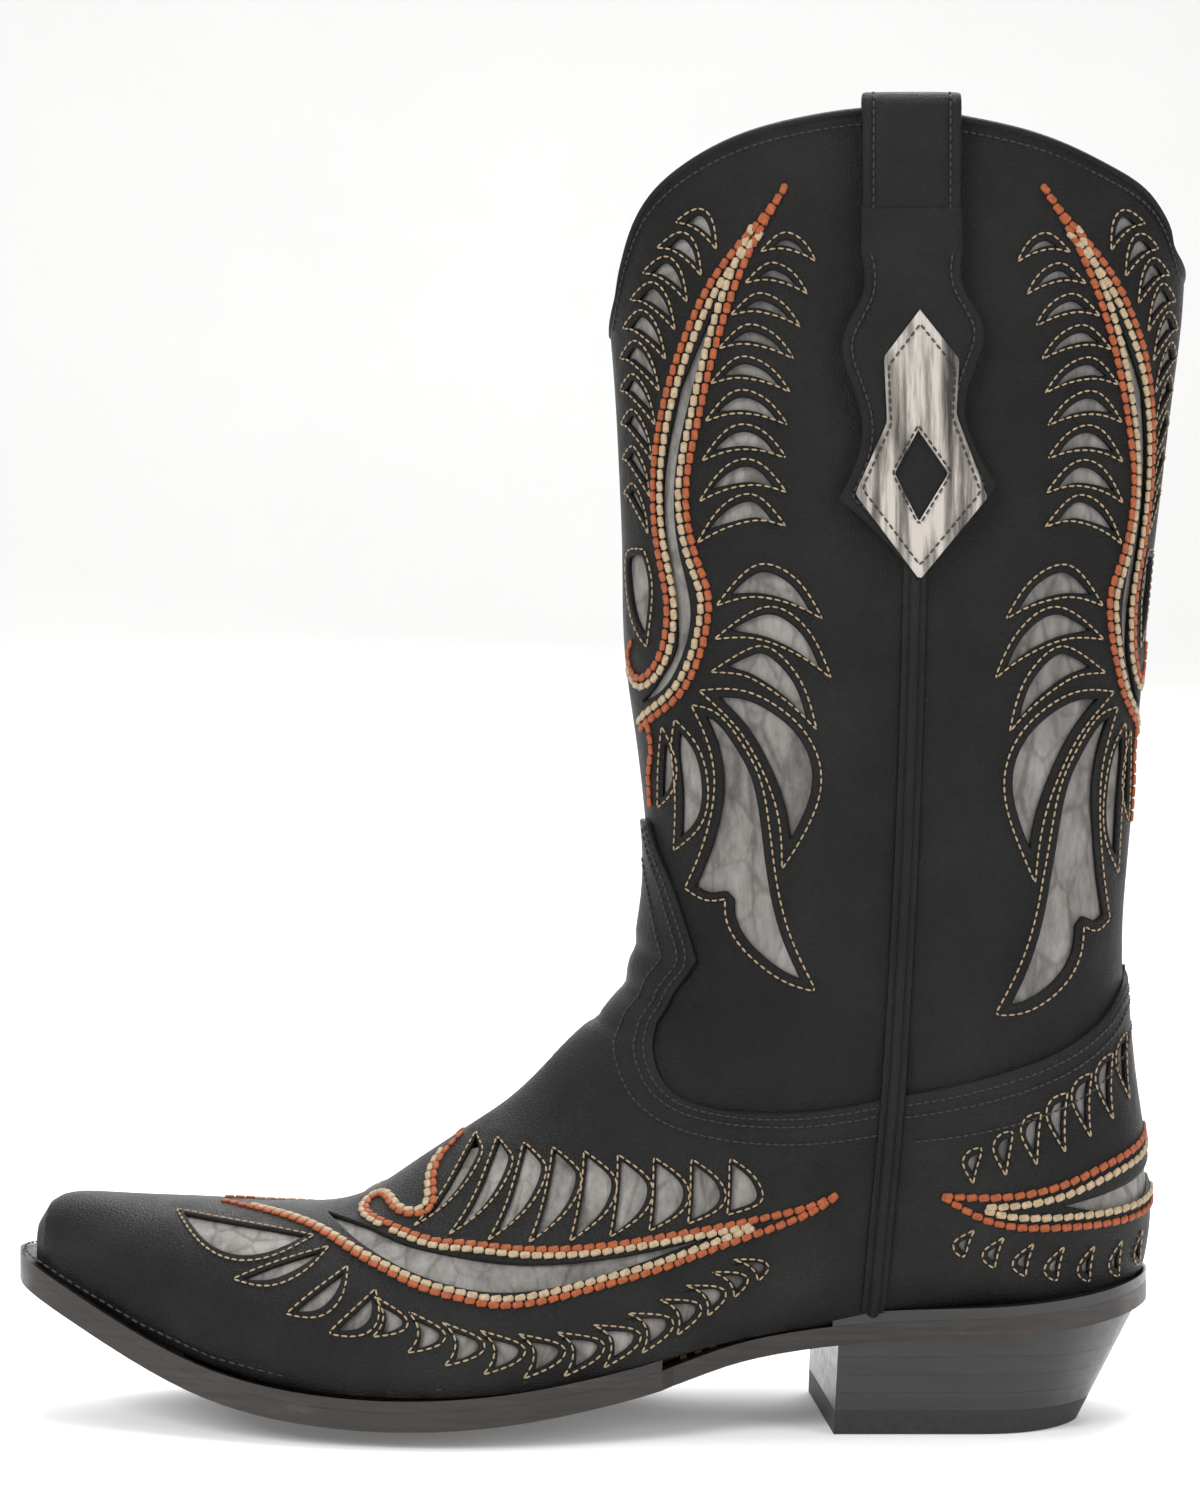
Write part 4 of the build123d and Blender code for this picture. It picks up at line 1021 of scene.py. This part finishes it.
def add_piping(side, name):
    """The raised piping down a side seam, from under the pull strap to the sole."""
    seam = through(SIDE_SEAM, 3.0)
    flat = from_side_view(seam[(seam[:, 1] < 345) & (seam[:, 1] > 33)]) * [side, 1]
    lift = np.interp(flat[:, 1], [0, 252, 262, 400], [0.0, 0.0, 1.5, 1.5])
    points, normals = on_upper(flat, lift)
    along = np.gradient(points, axis=0)
    along /= np.linalg.norm(along, axis=1)[:, None]
    return sweep(name, TRIM, points, np.cross(along, normals), normals, PIPING)


# ---- Pull straps -------------------------------------------------------------------------------------------
STRAP_X = 88.5
STRAP_HALF = 13.3
STRAP_THICK = 1.8
TAIL_OUTLINE = [(75.2, 330), (75.2, 317.4), (75.4, 306), (70.2, 292), (75.6, 272), (69.4, 252), (90.6, 230.5)]
TAIL_OUTLINE += [(111.0, 256), (102.6, 277), (107.7, 295.5), (102.6, 308), (101.8, 317.4), (101.8, 330)]
OVERLAY = [(90.6, 302.5), (81.2, 290), (82.0, 272.5), (73.6, 253.5), (90.6, 230.5), (108.4, 252.5)]
OVERLAY += [(100.2, 274.5), (101.0, 289.5)]
DIAMOND = [(90.2, 270.5), (84.0, 259), (90.4, 246), (98.2, 259)]
LOOP_PATH = [(-40.6, 324), (-41.3, 335), (-42.0, 346), (-42.2, 355), (-41.6, 358.8), (-39.2, 360.9)]
LOOP_PATH += [(-36.6, 361.0), (-33.4, 360.6), (-31.6, 357.5), (-31.4, 350), (-31.3, 338), (-31.2, 318)]


def tail_outline():
    """The sewn end's shield, with an ear on each side, as side view points."""
    points = np.array(TAIL_OUTLINE)
    left = through(points[1:6], 1.2)
    tip_left = through([points[5], (79.0, 243.5), points[6]], 1.2)
    tip_right = through([points[6], (102.5, 244.5), points[7]], 1.2)
    right = through(points[7:12], 1.2)
    return np.vstack([points[:1], left, tip_left[1:], tip_right[1:], right[1:], points[12:]])


def add_strap(side, name):
    """A pull strap: the shield sewn to the shaft, its grey overlay, and the loop over the collar."""
    flip = [side, 1]
    outline = from_side_view(tail_outline()) * flip
    row = from_side_view(shrink_open(tail_outline(), 2.6)) * flip
    tail = panel(f"Pull_strap_{name}_tail", TRIM, outline, (), [row], 4.0, STRAP_THICK, spacing=2.2)
    sew(THREADS["black"], row, 2.3, 1.8, 0.65, 0.7, 4.05)
    shape = from_side_view(closed(OVERLAY, 1.2)) * flip
    hole = from_side_view(closed(DIAMOND, 1.2)) * flip
    over = panel(f"Pull_strap_{name}_overlay", BRUSHED, shape, [hole], (), 5.0, 1.0, spacing=2.0)
    for outline, distance in ((OVERLAY, 1.5), (DIAMOND, -1.3)):
        line = closed(outline, 0.8)
        centre = line.mean(0)
        line = centre + (line - centre) * (1 - distance / 14)
        line = from_side_view(np.vstack([line, line[:1]])) * flip
        sew(THREADS["black"], line, 2.2, 1.6, 0.6, 0.7, 5.05)
    return tail, over, add_loop(side, name)


def shrink_open(line, distance):
    """The sewing line inside an open outline."""
    ahead = np.gradient(line, axis=0)
    ahead /= np.linalg.norm(ahead, axis=1)[:, None]
    inner = line + np.column_stack([-ahead[:, 1], ahead[:, 0]]) * distance
    kept = inner[holds(line, inner)]
    return kept[far_from(kept, line, distance * 0.9)]


def add_loop(side, name):
    """The free loop, a band with rounded edges and a stitched row near each, over the collar."""
    path = through(LOOP_PATH, 1.6)
    ahead = np.gradient(path, axis=0)
    ahead /= np.linalg.norm(ahead, axis=1)[:, None]
    out = np.column_stack([-ahead[:, 1], ahead[:, 0]])
    half_thick = STRAP_THICK / 2
    right = np.array([0.5, 0.74, 0.77, 0.8, 0.93, 0.985, 1])
    across = np.concatenate([-right[::-1], [0], right]) * STRAP_HALF
    right = np.array([1.08, 1.0, 0.78, 1.0, 0.95, 0.6, 0.0])
    crown = np.concatenate([right[::-1], [1.12], right]) * half_thick
    profile = np.vstack([np.column_stack([across, crown]), np.column_stack([across, -crown])[::-1][1:-1]])
    middle = path - out * half_thick
    slant = np.interp(path[:, 0], [-42, -31], [0, 0.5])
    centres = np.column_stack([STRAP_X + slant, middle[:, 0] * side, middle[:, 1]])
    upward = np.column_stack([np.zeros(len(out)), out[:, 0] * side, out[:, 1]])
    sideways = np.tile([1.0, 0, 0], (len(out), 1))
    loop = sweep(f"Pull_strap_{name}_loop", TRIM, centres, sideways, upward, profile)
    for edge in (-0.77, 0.77):
        line = centres + sideways * edge * STRAP_HALF + upward * half_thick * 0.85
        lay_stitches(THREADS["black"], line, upward, 2.3, 1.8, 0.65, 0.7)
    return loop


# ---- The sole ----------------------------------------------------------------------------------------------
SOLE_LINE = [(-165, 46.0), (-150, 40.4), (-138, 34.3), (-120, 25.8), (-99, 18.4), (-74, 13.8), (-46, 12.0)]
SOLE_LINE += [(-16, 14.0), (6, 17.8), (24, 22.0)]
WELT_ROW = [(20, -37.0), (2, -43.2), (-20, -47.6), (-46, -48.0), (-74, -42.6), (-99, -33.8), (-120, -24.2)]
WELT_ROW += [(-138, -15.6), (-151, -8.0), (-155.4, 0.8), (-156.2, 6.5), (-155.4, 12.2), (-151, 20.6)]
WELT_ROW += [(-138, 26.8), (-120, 32.2), (-99, 39.4), (-74, 45.4), (-50, 47.6), (-22, 45.4)]
WELT_ROW += [(2, 38.7), (20, 31.6)]


def welt_stitches(thread):
    """A row of stitches on the welt's top face, near its edge."""
    line = through(WELT_ROW, 1.0)
    sole = np.array(SOLE_LINE)
    height = np.interp(line[:, 0], sole[:, 0], sole[:, 1]) + 3.05
    points = np.column_stack([line, height])
    slope = np.gradient(height) / (np.gradient(line[:, 0]) + 1e-9)
    normals = np.column_stack([-np.clip(slope, -1, 1) * 0.6, np.zeros(len(line)), np.ones(len(line))])
    normals /= np.linalg.norm(normals, axis=1)[:, None]
    lay_stitches(thread, points, normals, 2.9, 2.2, 0.75, 0.6)


# ---- Putting it together -----------------------------------------------------------------------------------
def ride(piece, node):
    """Every piece moves with the one body, and may stand for a CAD node."""
    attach(piece, "root")
    if node:
        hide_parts(node)


for shaft_piece, stands_for, finish in add_shaft() + add_foot():
    ride(shaft_piece, stands_for)
seam_rows()
ride(add_bead(), "collar_bead")
for leg, where in ((1, "outer"), (-1, "inner")):
    ride(add_piping(leg, f"Side_piping_{where}"), f"side_piping_{where}")
    sewn_end, grey_over, free_loop = add_strap(leg, where)
    ride(sewn_end, f"pull_strap_{where}_tail")
    ride(grey_over, f"pull_strap_{where}_overlay")
    ride(free_loop, f"pull_strap_{where}_loop")
welt_stitches(THREADS["black"])
for colour, thread in THREADS.items():
    ride(thread.finish(), None)

WOOD = plain("Leather_board", (0.16, 0.10, 0.06, 1), (0.30, 0.21, 0.13, 1), 200, 0.75)
CORK = plain("Cork", (0.14, 0.08, 0.04, 1), (0.36, 0.24, 0.13, 1), 420, 0.85, depth=0.0004)
STEEL = plain("Steel", grey(0.35), grey(0.55), 500, 0.35, 1.0, stretch=(0.2, 1, 1))
PEGS = plain("Lemonwood_pegs", (0.20, 0.13, 0.06, 1), (0.40, 0.29, 0.16, 1), 600, 0.7, stretch=(1, 1, 0.2))
RUBBER = plain("Heel_rubber", grey(0.008), grey(0.02), 500, 0.62)
FINISHES = {
    LINING: ("shaft_front_lining", "shaft_back_lining", "foot_lining", "sock_liner"),
    WOOD: ("insole", "toe_box", "heel_stiffener"),
    CORK: ("cork_filler",),
    STEEL: ("steel_shank", "heel_nails", "top_lift_nails"),
    PEGS: ("waist_pegs",),
    SOLE_EDGE: ("outsole", "welt"),
    HEEL: ("heel_rand", "heel_lift_1", "heel_lift_2", "heel_lift_3", "heel_wedge_lift"),
    RUBBER: ("heel_top_lift",),
    TRIM: ("pull_strap_outer_lining_tail", "pull_strap_inner_lining_tail"),
}
for material, nodes in FINISHES.items():
    for node in nodes:
        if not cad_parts[node].material_slots:
            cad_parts[node].data.materials.append(material)
        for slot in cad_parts[node].material_slots:
            slot.material = material


# ---- Camera, light and floor -------------------------------------------------------------------------------
def studio():
    """The photograph's viewpoint, a pale floor that curves up into a backdrop, and soft lamps."""
    camera = bpy.data.objects.new("Camera", bpy.data.cameras.new("Camera"))
    bpy.context.collection.objects.link(camera)
    camera.location = (0.0, -0.8996, 0.185)
    camera.rotation_euler = (math.radians(90), 0, 0)
    camera.data.sensor_width = 36
    camera.data.lens = 77.28
    camera.data.clip_start = 0.05
    bpy.context.scene.camera = camera
    bpy.context.scene.view_settings.view_transform = "Standard"
    floor_points = [(-4, -4, 0), (4, -4, 0), (4, 1.6, 0), (4, 2.3, 0.3), (4, 2.6, 1.0), (4, 2.6, 4)]
    floor_points = [(x * sign, y, z) for x, y, z in floor_points[1:] for sign in (-1, 1)]
    faces = [(i, i + 1, i + 3, i + 2) for i in range(0, len(floor_points) - 2, 2)]
    paper = plain("Paper", grey(0.86), grey(0.885), 3.0, 0.8, depth=0.0)
    paper.node_tree.nodes["Principled BSDF"].inputs["Emission Color"].default_value = (1, 0.995, 0.985, 1)
    paper.node_tree.nodes["Principled BSDF"].inputs["Emission Strength"].default_value = 0.12
    floor = make_mesh("Floor", np.array(floor_points), faces, paper, sharp=80, in_part=True)
    floor.location.z = -0.0002
    world = bpy.data.worlds.new("World")
    bpy.context.scene.world = world
    world.use_nodes = True
    world.node_tree.nodes["Background"].inputs["Color"].default_value = (1.0, 0.99, 0.975, 1)
    world.node_tree.nodes["Background"].inputs["Strength"].default_value = 0.42
    for name, place_at, power, size in (
        ("Key", (-1.3, -1.3, 1.5), 34, 1.1),
        ("Fill", (1.5, -1.2, 0.9), 16, 1.2),
        ("Top", (0.1, 0.3, 1.9), 26, 1.2),
        ("Back", (0.3, 1.4, 1.3), 22, 1.4),
    ):
        light = bpy.data.objects.new(name, bpy.data.lights.new(name, "AREA"))
        bpy.context.collection.objects.link(light)
        light.data.energy = power
        light.data.size = size
        light.location = place_at
        light.rotation_euler = (Vector((0, 0, 0.17)) - Vector(place_at)).to_track_quat("-Z", "Y").to_euler()


studio()


# ---- Final update ------------------------------------------------------------------------------------------
bpy.context.view_layer.update()
